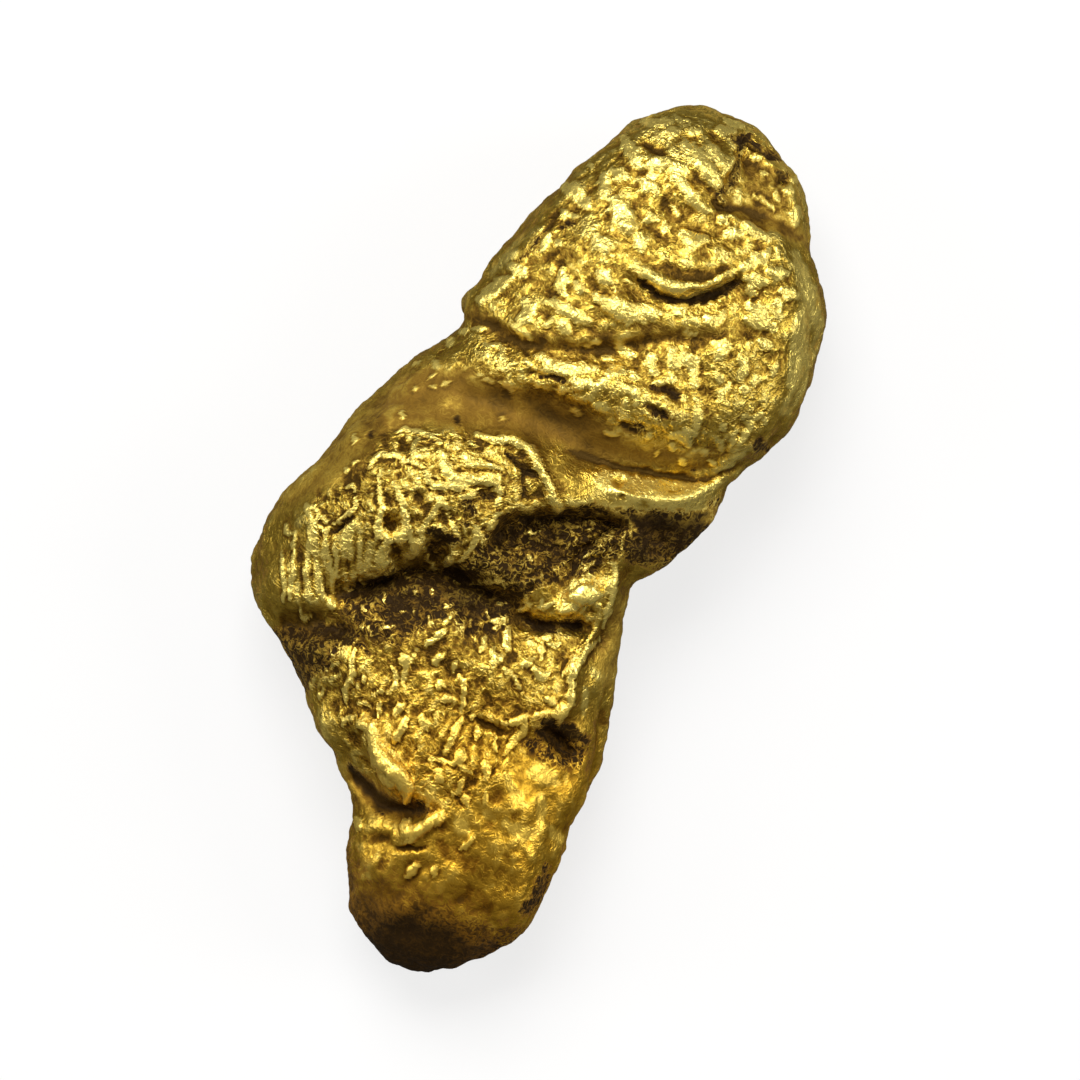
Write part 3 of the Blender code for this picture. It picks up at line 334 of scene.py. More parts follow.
# Low dull patches, painted darker as shade: strength, half width, points (x, y)
SHADES = [
    (0.45, 0.20, [(-2.3, 3.28), (-1.0, 3.35), (0.0, 3.78), (1.0, 4.4), (2.3, 5.05)]),
    (0.6, 0.10, [(-0.75, 7.8), (-0.5, 7.78), (-0.25, 7.8)]),
    (0.6, 0.07, [(0.3, 7.76), (0.6, 7.62), (0.9, 7.5)]),
    (0.5, 0.07, [(-1.0, 7.4), (-0.82, 7.25), (-0.7, 7.14)]), (0.4, 0.07, [(-0.5, 7.36), (-0.42, 7.2)]),
    (0.4, 0.06, [(-0.22, 7.32), (-0.16, 7.24)]), (0.55, 0.08, [(0.26, 7.3), (0.15, 7.0), (0.15, 6.7)]),
    (0.5, 0.09, [(0.68, 7.1), (0.7, 6.95), (0.6, 6.7)]), (0.4, 0.10, [(1.2, 7.0), (1.26, 6.8)]),
    (0.5, 0.10, [(1.74, 6.8), (1.92, 6.74)]), (0.85, 0.42, [(1.5, 8.25), (2.2, 7.9)]),
    (0.5, 0.10, [(-0.06, 8.66), (0.1, 8.6)]), (0.45, 0.12, [(0.3, 8.56), (0.6, 8.45), (0.95, 8.35)]),
    (0.5, 0.12, [(1.5, 7.42), (2.2, 7.46), (2.9, 7.42)]), (0.6, 0.08, [(-1.32, 6.86), (-1.1, 6.76)]),
    (0.45, 0.08, [(-0.96, 6.14), (-0.9, 6.05)]), (0.45, 0.07, [(-0.6, 5.86), (-0.2, 5.86)]),
    (0.5, 0.09, [(0.3, 6.2), (0.52, 6.2)]),
    (0.8, 0.17, [(0.2, 5.7), (0.6, 5.7), (1.1, 5.72), (1.5, 5.9), (1.8, 6.2)]),
    (0.45, 0.17, [(-1.5, 4.9), (-1.1, 5.1), (-0.9, 5.34)]),
    (0.5, 0.08, [(-0.7, 5.1), (-0.6, 4.9), (-0.38, 4.84)]),
    (0.4, 0.09, [(-1.5, 4.2), (-1.0, 4.3), (-0.8, 4.26)]), (0.35, 0.1, [(-1.4, 4.65), (-1.34, 4.6)]),
    (0.35, 0.12, [(0.06, 4.8), (0.16, 4.66)]), (0.6, 0.06, [(2.14, 6.56), (2.32, 6.5)]),
    (0.5, 0.12, [(3.4, 6.32), (3.5, 6.12)]), (0.35, 0.12, [(1.16, 6.24), (1.42, 6.3)]),
    (0.5, 0.12, [(2.36, 5.08), (2.7, 5.15), (2.84, 5.3)]), (0.5, 0.09, [(2.7, 4.84), (2.64, 4.58)]),
    (0.5, 0.15, [(1.4, 4.55), (2.1, 4.68), (2.4, 5.0)]), (0.5, 0.09, [(3.2, 5.04), (3.5, 5.2)]),
    (0.45, 0.09, [(3.3, 4.8), (3.36, 4.7)]), (0.4, 0.16, [(3.7, 6.02), (3.92, 5.66)]),
    (0.5, 0.11, [(-1.32, 3.2), (-1.0, 2.96)]), (0.45, 0.12, [(-0.5, 3.46), (-0.1, 3.46), (0.5, 3.8)]),
    (0.4, 0.2, [(-2.6, 3.3), (-1.9, 3.3)]), (0.6, 0.09, [(-1.8, 2.46), (-1.6, 2.4)]),
    (0.6, 0.09, [(-1.14, 2.14), (-0.98, 2.08)]), (0.5, 0.12, [(2.3, 3.84), (2.6, 3.9)]),
    (0.4, 0.12, [(2.7, 3.1), (2.8, 3.42)]), (0.4, 0.3, [(-0.8, 2.35), (0.0, 2.3), (1.0, 2.5)]),
    (0.5, 0.07, [(1.5, 1.55), (1.82, 1.55)]), (0.6, 0.05, [(1.84, 1.2), (1.9, 1.3)]),
    (0.5, 0.045, [(2.24, 1.36), (2.4, 1.3)]), (0.6, 0.04, [(2.68, 1.74), (2.9, 1.92)]),
    (0.6, 0.10, [(-2.56, 0.46), (-2.5, 0.28)]), (0.3, 0.12, [(-2.2, 0.36), (-2.1, 0.3)]),
    (0.8, 0.10, [(-2.36, -0.68), (-2.24, -0.8)]), (0.5, 0.15, [(-2.14, -1.14), (-2.0, -1.26)]),
    (0.8, 0.11, [(-1.86, -0.4), (-1.66, -0.5), (-1.54, -0.64)]),
    (0.8, 0.09, [(-1.85, -1.56), (-1.68, -1.6)]), (0.5, 0.08, [(-1.22, 0.45), (-1.0, 0.4)]),
    (0.5, 0.10, [(0.1, 0.5), (0.4, 0.6)]), (0.5, 0.12, [(-0.18, 0.1), (-0.1, -0.4), (-0.16, -0.9)]),
    (0.5, 0.08, [(-3.36, -2.05), (-3.2, -2.0)]), (0.5, 0.09, [(-2.56, -1.7), (-2.3, -1.6)]),
    (0.5, 0.07, [(-2.88, -2.58), (-2.74, -2.72)]), (0.5, 0.08, [(-3.66, -1.2), (-3.58, -1.26)]),
    (0.5, 0.2, [(-3.1, 0.6), (-3.0, 0.2), (-3.1, -0.6), (-3.3, -1.2)]),
    (0.5, 0.10, [(3.34, -2.8), (3.46, -3.02)]), (0.6, 0.08, [(0.3, -4.56), (0.56, -4.64)]),
    (0.5, 0.09, [(0.54, -4.2), (0.6, -4.36)]), (0.6, 0.07, [(1.08, -3.95), (1.4, -4.0), (1.76, -4.0)]),
    (0.6, 0.10, [(1.24, -2.62), (1.26, -2.46)]), (0.35, 0.25, [(0.75, -3.3), (1.2, -3.45), (1.6, -3.4)]),
    (0.6, 0.10, [(-1.16, -5.16), (-0.95, -5.36), (-0.74, -5.5)]),
    (0.6, 0.05, [(0.75, -6.96), (1.0, -6.88), (1.3, -6.72)]), (0.5, 0.09, [(2.54, -5.4), (2.68, -5.4)]),
    (0.4, 0.16, [(2.1, -5.1), (2.2, -5.3)]), (0.5, 0.13, [(2.8, -6.2), (2.85, -6.4), (2.8, -6.6)]),
    (0.5, 0.13, [(0.1, -7.05), (0.5, -6.9)]), (0.5, 0.09, [(0.72, -7.28), (0.6, -7.46)]),
    (0.3, 0.25, [(1.9, -6.6), (2.5, -6.65)]), (0.5, 0.25, [(2.1, -7.25), (2.9, -7.3)]),
    (0.5, 0.09, [(-1.6, -4.75), (-1.5, -5.0)]), (0.4, 0.1, [(1.4, -6.45), (1.8, -6.7)]),
    (0.35, 0.12, [(3.45, -4.75), (3.5, -5.0)]), (0.3, 0.12, [(2.9, -6.05), (3.3, -6.2)]),
]
# Fine cracks and creases: depth, half width, points (x, y)
CRACKS = [
    (0.16, 0.045, [(-0.6, 1.08), (-0.2, 0.95), (0.22, 0.88)]),
    (0.10, 0.04, [(-0.14, 0.9), (0.0, 0.65), (0.16, 0.3)]),
    (0.14, 0.045, [(-3.05, -1.85), (-2.93, -1.62), (-2.83, -1.35)]),
    (0.14, 0.09, [(1.5, 3.46), (1.8, 3.56), (2.1, 3.46)]),
    (0.10, 0.07, [(1.5, 3.05), (1.8, 3.08), (2.1, 3.05)]),
    (0.08, 0.07, [(1.2, 2.5), (1.4, 2.55), (1.6, 2.5)]),
    (0.06, 0.06, [(0.4, 5.28), (0.75, 5.18), (1.1, 5.2), (1.45, 5.36), (1.82, 5.64), (2.16, 6.08)]),
    (0.10, 0.05, [(0.4, 1.6), (1.4, 1.75), (2.0, 1.9), (2.66, 2.07), (3.5, 2.46), (3.8, 3.1)]),
    (0.10, 0.09, [(-0.75, 7.8), (-0.5, 7.78), (-0.25, 7.8)]),
    (0.12, 0.08, [(0.95, 7.35), (1.2, 7.28), (1.5, 7.4)]),
    (0.16, 0.10, [(0.92, 8.68), (1.15, 8.76), (1.5, 8.72), (1.8, 8.68)]),
    (0.08, 0.045, [(-1.72, 5.9), (-1.72, 5.6), (-1.75, 5.2)]),
    (0.10, 0.045, [(0.75, -6.98), (1.0, -6.9), (1.3, -6.72)]),
    (0.14, 0.10, [(2.35, -3.7), (2.6, -3.65), (2.9, -3.75), (3.15, -3.9)]),
    (0.12, 0.06, [(1.1, -3.96), (1.4, -4.0), (1.76, -4.0)]),
    (0.10, 0.05, [(-0.86, 2.68), (-0.4, 2.82), (-0.1, 2.86)]),
]
# Small holes: depth, x, y, radius
HOLES = [
    (0.060, -1.75, 1.27, 0.06), (0.048, -0.55, 0.02, 0.22), (0.072, -1.74, -0.5, 0.18),
    (0.054, -2.37, -0.73, 0.11), (0.060, -2.48, 0.33, 0.15), (0.060, -1.1, -0.55, 0.18),
    (0.048, 1.66, 1.5, 0.12), (0.036, 1.85, 1.28, 0.06), (0.060, -3.2, 0.25, 0.07),
    (0.054, -0.9, 0.5, 0.12), (0.072, 2.25, -1.05, 0.10), (0.060, 2.1, 8.3, 0.16),
]

# Areas of the upper face, each inside a smooth outline of points (x, y)
AREAS = {
    "plate": [(0.9, 8.8), (-0.4, 8.6), (-1.4, 7.4), (-1.9, 6.2), (-2.2, 4.8), (-2.5, 3.5), (-1.9, 3.36),
              (-1.1, 3.15), (-0.1, 3.5), (0.4, 3.9), (1.05, 4.36), (2.2, 5.1), (3.1, 5.6), (3.3, 6.3),
              (2.8, 7.2), (2.4, 8.1)],
    "band": [(-2.5, 3.2), (-1.1, 3.1), (0.0, 3.5), (1.05, 4.35), (2.2, 5.1), (3.3, 5.6), (3.75, 4.6),
             (3.7, 3.2), (3.3, 2.75), (2.4, 2.4), (1.2, 2.35), (0.2, 2.5), (-0.8, 2.3), (-1.8, 2.1),
             (-2.8, 1.9), (-2.9, 2.5)],
    "lip": [(1.3, 1.65), (2.0, 1.85), (2.7, 2.05), (3.5, 2.5), (3.8, 3.3), (4.1, 3.2), (3.8, 1.9),
            (3.3, 1.3), (2.5, 1.1), (1.9, 0.95), (1.3, 1.15)],
    "bulge": [(-1.3, 1.15), (-0.5, 1.45), (0.2, 1.15), (0.9, 0.65), (0.2, 0.1), (-0.15, -0.3),
              (-0.3, -1.2), (-1.3, -1.75), (-1.9, -2.2), (-2.4, -2.8), (-3.2, -3.4), (-3.75, -2.6),
              (-3.6, -1.4), (-3.1, -0.5), (-2.9, 0.4), (-2.2, 0.8)],
    "striated": [(-3.7, -1.6), (-3.1, -1.95), (-2.8, -1.4), (-2.2, -1.7), (-1.95, -2.3), (-2.5, -2.9),
                 (-3.3, -3.3), (-3.8, -2.5)],
    "hollow": [(-0.16, -0.2), (0.22, 0.1), (0.66, 0.29), (1.1, 0.54), (1.54, 0.76), (2.0, 0.83),
               (2.32, 0.7), (2.3, 0.05), (1.9, -0.5), (1.5, -0.9), (1.0, -1.2), (0.2, -1.35),
               (-0.3, -1.2)],
    "shoulder": [(-2.2, -2.6), (-1.2, -1.9), (0.4, -1.8), (0.7, -2.2), (0.4, -3.0), (-0.3, -3.3),
                 (-1.5, -3.5), (-2.3, -3.3)],
    "lobe": [(-1.9, -2.3), (-1.2, -1.75), (-0.2, -1.6), (1.0, -1.5), (1.6, -1.3), (1.9, -0.5),
             (2.4, -0.3), (2.6, -1.2), (2.6, -2.6), (2.3, -4.3), (1.9, -5.2), (1.4, -6.0), (0.5, -6.4),
             (-0.7, -5.9), (-1.9, -4.9), (-2.6, -4.0), (-2.4, -3.2)],
}
AREA_EDGE = 0.18            # half the width over which an area fades out

# ---------------------------------------------------------------- where the patina and painted shade lie

# Iron stain with painted shadows under rims and lips, brown to black: strength, half width, points (x, y)
STAINS_AND_SHADOWS = [
    # painted shadows below the top's rim
    (1.0, 0.16, [(0.95, 8.6), (1.08, 8.78), (1.2, 8.8)]),
    (0.9, 0.10, [(1.2, 8.8), (1.5, 8.72), (1.85, 8.7)]), (0.7, 0.12, [(2.0, 8.45), (2.16, 8.38)]),
    (0.55, 0.11, [(1.1, 8.4), (1.2, 8.0), (1.15, 7.7), (1.1, 7.5), (1.3, 7.38)]),
    (0.8, 0.08, [(-1.46, 5.6), (-1.3, 5.76)]),
    # the painted shadow under the smile's lip
    (1.0, 0.10, [(0.4, 5.28), (0.75, 5.18), (1.1, 5.2), (1.45, 5.36), (1.82, 5.64), (2.16, 6.08)]),
    (0.6, 0.07, [(-0.06, 5.0), (0.04, 4.86)]), (0.5, 0.045, [(-1.74, 5.5), (-1.8, 5.0), (-1.96, 4.6)]),
    (0.7, 0.045, [(-0.86, 2.68), (-0.4, 2.8), (-0.1, 2.86)]), (0.9, 0.07, [(-1.82, 1.28), (-1.7, 1.26)]),
    (0.8, 0.07, [(1.5, 3.46), (1.8, 3.56), (2.1, 3.46)]), (0.75, 0.07, [(1.5, 3.05), (2.1, 3.06)]),
    (0.6, 0.09, [(1.3, 2.5), (1.56, 2.6), (1.7, 2.66)]), (0.8, 0.05, [(2.93, 2.34), (2.98, 2.3)]),
    (0.9, 0.15, [(3.8, 3.3), (4.0, 3.4)]), (0.5, 0.14, [(3.6, 2.0), (3.5, 1.4)]),
    (0.9, 0.05, [(-3.2, 0.3), (-3.16, 0.25)]), (1.0, 0.05, [(-0.6, 1.07), (-0.2, 0.95), (0.2, 0.87)]),
    (0.6, 0.05, [(-0.12, 0.9), (0.0, 0.65), (0.13, 0.32)]),
    # the painted shadow in the left pit's upper rim
    (1.0, 0.10, [(-1.3, -0.95), (-1.0, -1.0), (-0.76, -0.94)]),
    (0.9, 0.08, [(-0.78, 0.08), (-0.5, 0.16)]), (0.7, 0.12, [(-0.9, -0.18), (-0.66, -0.26)]),
    (0.7, 0.09, [(-0.78, -0.52), (-0.7, -0.58)]), (0.5, 0.16, [(-1.2, -1.2), (-0.95, -1.32)]),
    (1.0, 0.05, [(-3.03, -1.78), (-2.9, -1.55), (-2.82, -1.34)]),
    (0.6, 0.13, [(0.5, -1.85), (0.72, -1.5)]), (0.6, 0.07, [(-1.76, -3.64), (-1.4, -3.66)]),
    (1.0, 0.13, [(2.3, -3.42), (2.8, -3.46), (3.2, -3.4)]),
    (0.9, 0.17, [(-0.75, -5.95), (-0.3, -6.1), (0.1, -6.26), (0.5, -6.2), (0.8, -6.05), (1.0, -6.0)]),
    (0.7, 0.11, [(0.0, -6.44), (0.3, -6.4)]), (0.8, 0.16, [(3.62, -6.1), (3.66, -6.6), (3.55, -7.1)]),
]
# Wide stains and painted shade inside a smooth outline: strength, half width of the edge, points (x, y)
STAIN_AND_SHADE_AREAS = [
    # the hollow, and its darkest part below the upper edge, a painted shadow under the rim
    (0.35, 0.15, [(-0.3, -0.5), (0.4, -0.6), (1.0, -0.7), (1.0, -1.2), (0.2, -1.35), (-0.3, -1.2)]),
    (0.62, 0.10, [(-0.15, -0.1), (0.5, 0.33), (0.95, 0.58), (1.4, 0.84), (1.95, 0.92), (2.28, 0.75),
                  (2.28, 0.1), (2.0, -0.35), (1.6, -0.65), (1.2, -1.0), (0.9, -1.3), (0.2, -1.32),
                  (-0.3, -1.15), (-0.25, -0.6)]),
    (0.60, 0.16, [(0.0, 0.05), (0.5, 0.33), (1.0, 0.6), (1.5, 0.85), (1.9, 0.85), (1.3, 0.4), (1.2, -0.3),
                  (0.7, -0.5), (0.3, -0.1)]),
    # the cleft's upper wall, the cleft, and the lobe's stained shoulder under it
    (0.55, 0.08, [(-0.4, -1.15), (0.3, -1.25), (0.9, -1.2), (0.95, -1.4), (0.3, -1.5), (-0.5, -1.45)]),
    (0.92, 0.09, [(-1.42, -1.86), (-0.9, -1.60), (-0.5, -1.36), (-0.1, -1.32), (0.3, -1.5), (0.95, -1.34),
                  (0.9, -1.7), (0.7, -1.95), (0.2, -2.05), (-0.6, -2.05), (-1.2, -2.15), (-1.75, -2.6),
                  (-2.35, -2.95), (-2.3, -2.70), (-1.9, -2.3), (-1.7, -2.0)]),
    (0.76, 0.16, [(-1.8, -2.2), (-1.2, -1.9), (-0.2, -1.9), (0.1, -2.1), (-0.4, -2.45), (-1.2, -2.6),
                  (-1.9, -2.8), (-2.3, -2.9)]),
    (0.70, 0.20, [(-2.2, -2.8), (-1.4, -2.4), (-0.5, -2.4), (-0.6, -2.8), (-1.0, -3.3), (-1.7, -3.4),
                  (-2.1, -3.2)]),
    (0.62, 0.16, [(-0.3, -1.9), (0.6, -1.8), (0.9, -2.0), (0.5, -2.6), (0.0, -2.5)]),
    (0.95, 0.06, [(0.98, -1.78), (1.3, -1.68), (1.75, -1.48), (2.22, -1.3), (2.26, -1.44), (1.75, -1.76),
                  (1.3, -1.92)]),
    # a painted shadow below the lip, the waist's inner bend, the notch on the left and the pit on the right
    (0.70, 0.09, [(1.9, 1.02), (2.4, 1.2), (2.9, 1.42), (3.5, 1.7), (3.4, 1.3), (2.6, 0.95), (2.1, 0.8)]),
    (0.92, 0.16, [(2.36, 1.0), (2.65, 1.28), (3.1, 1.3), (3.7, 1.5), (3.6, 0.9), (3.2, 0.4), (2.7, 0.2),
                  (2.38, 0.2)]),
    (0.97, 0.08, [(-2.7, -3.72), (-2.3, -3.42), (-1.9, -3.42), (-1.72, -3.54), (-1.95, -3.72),
                  (-2.6, -3.86)]),
    (0.80, 0.12, [(-3.6, -4.3), (-3.1, -3.92), (-2.6, -3.78), (-2.0, -3.72), (-1.95, -4.2), (-2.2, -4.9),
                  (-3.0, -5.0)]),
    (0.68, 0.14, [(2.22, -3.4), (2.6, -3.34), (3.3, -3.38), (3.4, -3.9), (3.1, -4.12), (2.5, -4.14),
                  (2.22, -4.0), (2.3, -3.75)]),
    # the tapered end, darker partly as stain and partly as painted shade
    (0.60, 0.50, [(0.0, -8.8), (0.9, -8.3), (2.0, -7.8), (3.0, -7.8), (4.0, -7.8), (4.0, -9.6),
                  (0.0, -9.6)]),
    (0.78, 0.40, [(1.1, -8.4), (1.7, -8.0), (2.4, -8.1), (2.9, -8.5), (2.6, -9.6), (0.8, -9.6)]),
]
# Smooth brown film inside a smooth outline: strength, half width of the edge, points (x, y)
FILMS = [
    (0.95, 0.20, [(-3.3, 0.8), (-3.2, 1.5), (-2.5, 2.2), (-1.0, 2.35), (0.6, 2.45), (2.0, 2.5),
                  (3.2, 2.95), (3.4, 3.0), (2.9, 2.45), (1.9, 2.05), (1.0, 1.75), (-0.4, 1.55),
                  (-1.3, 1.2), (-2.0, 0.95), (-2.9, 0.5)]),
    (0.60, 0.30, [(-2.9, 0.8), (-3.5, 0.8), (-4.6, -1.8), (-3.9, -1.6), (-3.2, -0.6)]),
    (0.45, 0.14, [(-2.6, 3.15), (-1.2, 3.15), (0.0, 3.55), (1.0, 4.2), (2.4, 5.0), (2.3, 5.2), (0.9, 4.55),
                  (-0.1, 3.9), (-1.2, 3.45), (-2.6, 3.4)]),
    (0.75, 0.14, [(1.15, 7.3), (2.0, 7.3), (3.0, 7.3), (3.1, 7.6), (2.2, 7.65), (1.4, 7.6)]),
    (0.55, 0.30, [(1.2, 7.7), (2.4, 7.8), (2.5, 8.4), (1.4, 8.6)]),
    (0.80, 0.16, [(-0.9, -5.8), (-0.3, -5.95), (0.4, -6.05), (0.9, -6.1), (0.5, -6.5), (-0.3, -6.5),
                  (-0.8, -6.2)]),
    (0.60, 0.50, [(0.0, -7.9), (1.0, -7.7), (2.2, -7.7), (3.4, -8.0), (4.2, -9.6), (0.0, -9.6)]),
    (0.60, 0.14, [(2.7, -0.2), (2.75, -1.3), (2.85, -2.0), (3.3, -2.4), (3.2, -1.4), (2.9, -0.4)]),
    (0.55, 0.14, [(1.3, 1.05), (2.0, 0.95), (2.5, 1.2), (3.1, 1.4), (3.9, 2.2), (3.7, 1.4), (2.6, 0.9),
                  (2.0, 0.75)]),
]

# ---------------------------------------------------------------- further areas

# Spans of y over which further areas set in, from their start to where they are full
SPANS = {
    "top": (7.2, 7.9),
    "stained": (-6.0, -5.0),    # times the stain
    "warm": (-2.0, -4.5),       # redder metal, which also sets in from left to right
    "lower": (-3.5, -5.5),
    "tapered": (-5.9, -6.8),
    "tip": (-7.2, -8.5),
}
WARM_ACROSS = (-3.0, 2.5)   # x over which the redder metal sets in

# ---------------------------------------------------------------- the fine skin's patterns

# Warps, in rounds of amount, size, seed: of the strokes, stains, films, clumps, beads and creases
STROKE_WARPS = [(0.04, 0.20, 81), (0.02, 0.09, 84)]
STAIN_WARPS = [(0.07, 0.32, 91), (0.04, 0.14, 94)]
FILM_WARPS = [(0.12, 0.5, 97), (0.05, 0.16, 98)]
CROOKED_WARPS = [(0.12, 0.45, 21)]
BEAD_WARPS = [(0.06, 0.2, 31)]
CREASE_WARPS = [(0.05, 0.15, 33)]
FRAY = (0.45, 0.11, 86)     # weight, size and seed of the noise that frays a stroke's edge
# Sums of noises: weight, size, seed
CRUMBS = [(1.0, 0.16, 51), (0.6, 0.10, 52)]
SHALLOWS = [(1.0, 0.5, 61), (0.4, 0.25, 62)]
# Single patterns: size, seed, and a wall's width as a share of its cell
PATCHES = (1.1, 15)
CLUMPS, CLUMP_FLOOR = (0.44, 5), -0.6   # the floor is how low the creases between clumps count as tone
BEADS = (0.24, 6)
WALLS, WALLS_LEAST = (0.46, 41, 0.16), 0.3      # the least is their share outside the patches
FOLDS, FOLD_STRETCH = (0.36, 43), (1, 0.55, 1)
CREASES = (0.20, 47)
STRIAE = (0.12, 71)
STRIAE_AXES = [(0.9, 0, 0), (0.42, 0.12, 0), (0, 0, 0.3)]   # what turns and stretches the striae
# Height of each area's patterns, in mm
UPPER_HEIGHTS = {
    "everywhere": {"shallow": 0.018},
    "plate": {"clumps": 0.060, "beads": 0.016, "crumbs": 0.008},
    "band": {"beads": 0.020, "patchy clumps": 0.03, "crumbs": 0.008},
    "net": {"walls": 0.030, "creases": 0.026},
    "striated": {"striae": 0.035, "crumbs": 0.008},
    "hollow": {"creases": 0.05, "crumbs": 0.02},
    "lobe": {"folds": 0.020, "patchy folds": 0.022, "creases": 0.022},
    "lower": {"clumps": 0.035, "beads": 0.018, "crumbs": 0.008},
    "stained": {"crumbs": 0.055},
}
SIDE_HEIGHTS = {"side": {"shallow": 0.018, "clumps": 0.028, "beads": 0.022, "crumbs": 0.014}}
# Tone of each area's patterns, about 0.5 plain metal, 1 bright, as rubbed metal and painted highlight, and
# 0 dark:
# raised parts are painted lighter and low parts darker as shade; the lip and striated facet are painted
# lit, the tip partly shaded
TONES = {
    "everywhere": {"plain": 0.48, "shallow": 0.10},
    "plate": {"plain": -0.14, "clump tops": 0.34, "beads": 0.08},
    "band": {"plain": 0.07, "beads": 0.12},
    "net": {"plain": -0.12, "walls": 0.26, "creases": 0.34},
    "striated": {"plain": 0.40, "striae": 0.95},
    "lobe": {"plain": -0.07, "folds": 0.16, "patchy folds": 0.18, "creases": 0.16},
    "lip": {"plain": 0.36},
    "shoulder": {"plain": -0.24},
    "lower": {"plain": -0.05, "clumps": 0.16, "beads": 0.12},
    "tapered": {"plain": -0.10},
    "tip": {"plain": -0.25},
    "top": {"plain": 0.18},
}
LIGHTEST_TONE = 1.1
# How strongly each area's skin is crumpled like foil, and how strongly it is crumbed
CRISP = {"plate": 0.14, "band": 0.20, "bulge": 0.38, "striated": -0.15, "hollow": 0.50, "lobe": 0.18,
         "side": 0.10, "everywhere": 0.10}
LUMPY = {"plate": 0.16, "band": 0.25, "bulge": 0.10, "hollow": 0.1, "lobe": 0.15, "side": 0.20,
         "everywhere": 0.10}
# Strokes that stand: their table, how far they stand out in half widths, how much wider they are drawn,
# how worn and painted bright as a highlight they are on top, and how much painted shade lies at their foot
STANDING = [(ROLLS, 0.8, 1.0, 1.0, 1.0), (GRAINS, 0.6, 1.3, 0.65, 0.8)]
FOOT_SHADE_REACH = 0.07           # how far the painted shade at a stroke's foot reaches
SHADE_DEPTH = 0.03          # how deep a dull patch lies
SHADE_TONE, CRACK_TONE = 0.4, 4.0       # how much a dull patch and a mm of crack are painted darker as shade
# how much a worn crest is painted brighter, partly as a highlight, and a stroke's foot darker as shade
WORN_HIGHLIGHT_TONE, FOOT_SHADE_TONE = 0.95, 0.22
NET_FOOT_SHADE_TONE = 0.18        # further, on the bulge's net and on the lobe
FILM_ON_WORN = 0.55         # how much of a worn crest the film dulls
FILM_SMOOTHS, WORN_SMOOTHS, WARM_SMOOTHS = 0.7, 0.7, 0.5    # how much of the crumpling each takes away
WORN_CLEANS = 0.7           # how much of the stain and painted shade is gone where the skin is worn


# ---------------------------------------------------------------- curves and fields

POINTS_PER_SPAN = 5         # of the smooth line between two knots
LINE_FADE = 0.18            # the share of a line over which it fades in at either end
WORD = 0xFFFFFFFF           # the largest number of 32 bits
HASH_WEIGHTS = (374761393, 668265263, 2147483647)       # of a lattice point's i, j and k
HASH_SEED, HASH_FOLD = 144269, 1274126177               # what the seed and the folded sum are multiplied by
NOISE_GAIN = 1.6            # brings the gradient noise to about -1 to 1
SCATTER = 0.42              # how far a scattered point lies from the middle of its cell at most, in cells
PEBBLE_FALL = 1.4           # how fast a pebble falls away from its top
CREST_GAIN = 1.5            # brings the noise under the crests to -1 to 1
FINER_SIZE, FINER_SHARE = 0.47, 0.6     # of the small crests that lie on a wrinkle, against its own


def curve_through(places, values, at):
    """Cubic Hermite curve through (place, value), with slopes from the neighbouring points."""
    places, values = np.asarray(places, float), np.asarray(values, float)
    slopes = np.gradient(values, places)
    i = np.clip(np.searchsorted(places, at, side="right") - 1, 0, len(places) - 2)
    step = places[i + 1] - places[i]
    s = (at - places[i]) / step
    start = (2 * s**3 - 3 * s**2 + 1) * values[i] + (s**3 - 2 * s**2 + s) * step * slopes[i]
    end = (3 * s**2 - 2 * s**3) * values[i + 1] + (s**3 - s**2) * step * slopes[i + 1]
    return start + end


def along(outline, t):
    """An outline's value at t: the curve through its knots, each at t = arccos(y / half length) / pi."""
    y, value = np.array(outline, float).T
    return curve_through(np.arccos(np.clip(y / HALF_LENGTH, -1, 1)) / math.pi, value, t)


def signed_power(value, exponent):
    """sign(v) |v|^e, which turns a circle's cosine and sine into a superellipse's."""
    return np.sign(value) * np.abs(value) ** exponent


def smooth_step(low, high, value):
    """3 s^2 - 2 s^3, where s runs from 0 at low to 1 at high."""
    s = np.clip((value - low) / (high - low), 0, 1)
    return s * s * (3 - 2 * s)


def bell(value):
    """exp(-v^2), 1 at 0 and almost 0 past 2."""
    return np.exp(-value * value)


def fade_ends(run, share=LINE_FADE):
    """0 at both ends of a line, 1 between, where run goes from 0 to 1 along it."""
    return smooth_step(0, share, run) * smooth_step(0, share, 1 - run)


def to_line(p, knots, closed=False):
    """Distance to the smooth line through the knots, side (+1 on the right), and share along the line."""
    knots = np.asarray(knots, float)
    if closed:
        knots = np.concatenate([knots, knots[:1]])
    places = np.arange(len(knots))
    steps = np.linspace(0, len(knots) - 1, (len(knots) - 1) * POINTS_PER_SPAN + 1)
    line = np.stack([curve_through(places, column, steps) for column in knots.T], -1)
    share = np.linspace(0, 1, len(line))
    best = np.full(p.shape[:-1], np.inf)
    side, run = np.zeros_like(best), np.zeros_like(best)
    for i, (start, way) in enumerate(zip(line[:-1], np.diff(line, axis=0))):
        off = p - start
        s = np.clip(off @ way / (way @ way), 0, 1)
        distance = np.linalg.norm(off - s[..., None] * way, axis=-1)
        near = distance < best
        best = np.where(near, distance, best)
        side = np.where(near, -np.sign(way[0] * off[..., 1] - way[1] * off[..., 0]), side)
        run = np.where(near, share[i] + s * (share[i + 1] - share[i]), run)
    return best, side, run


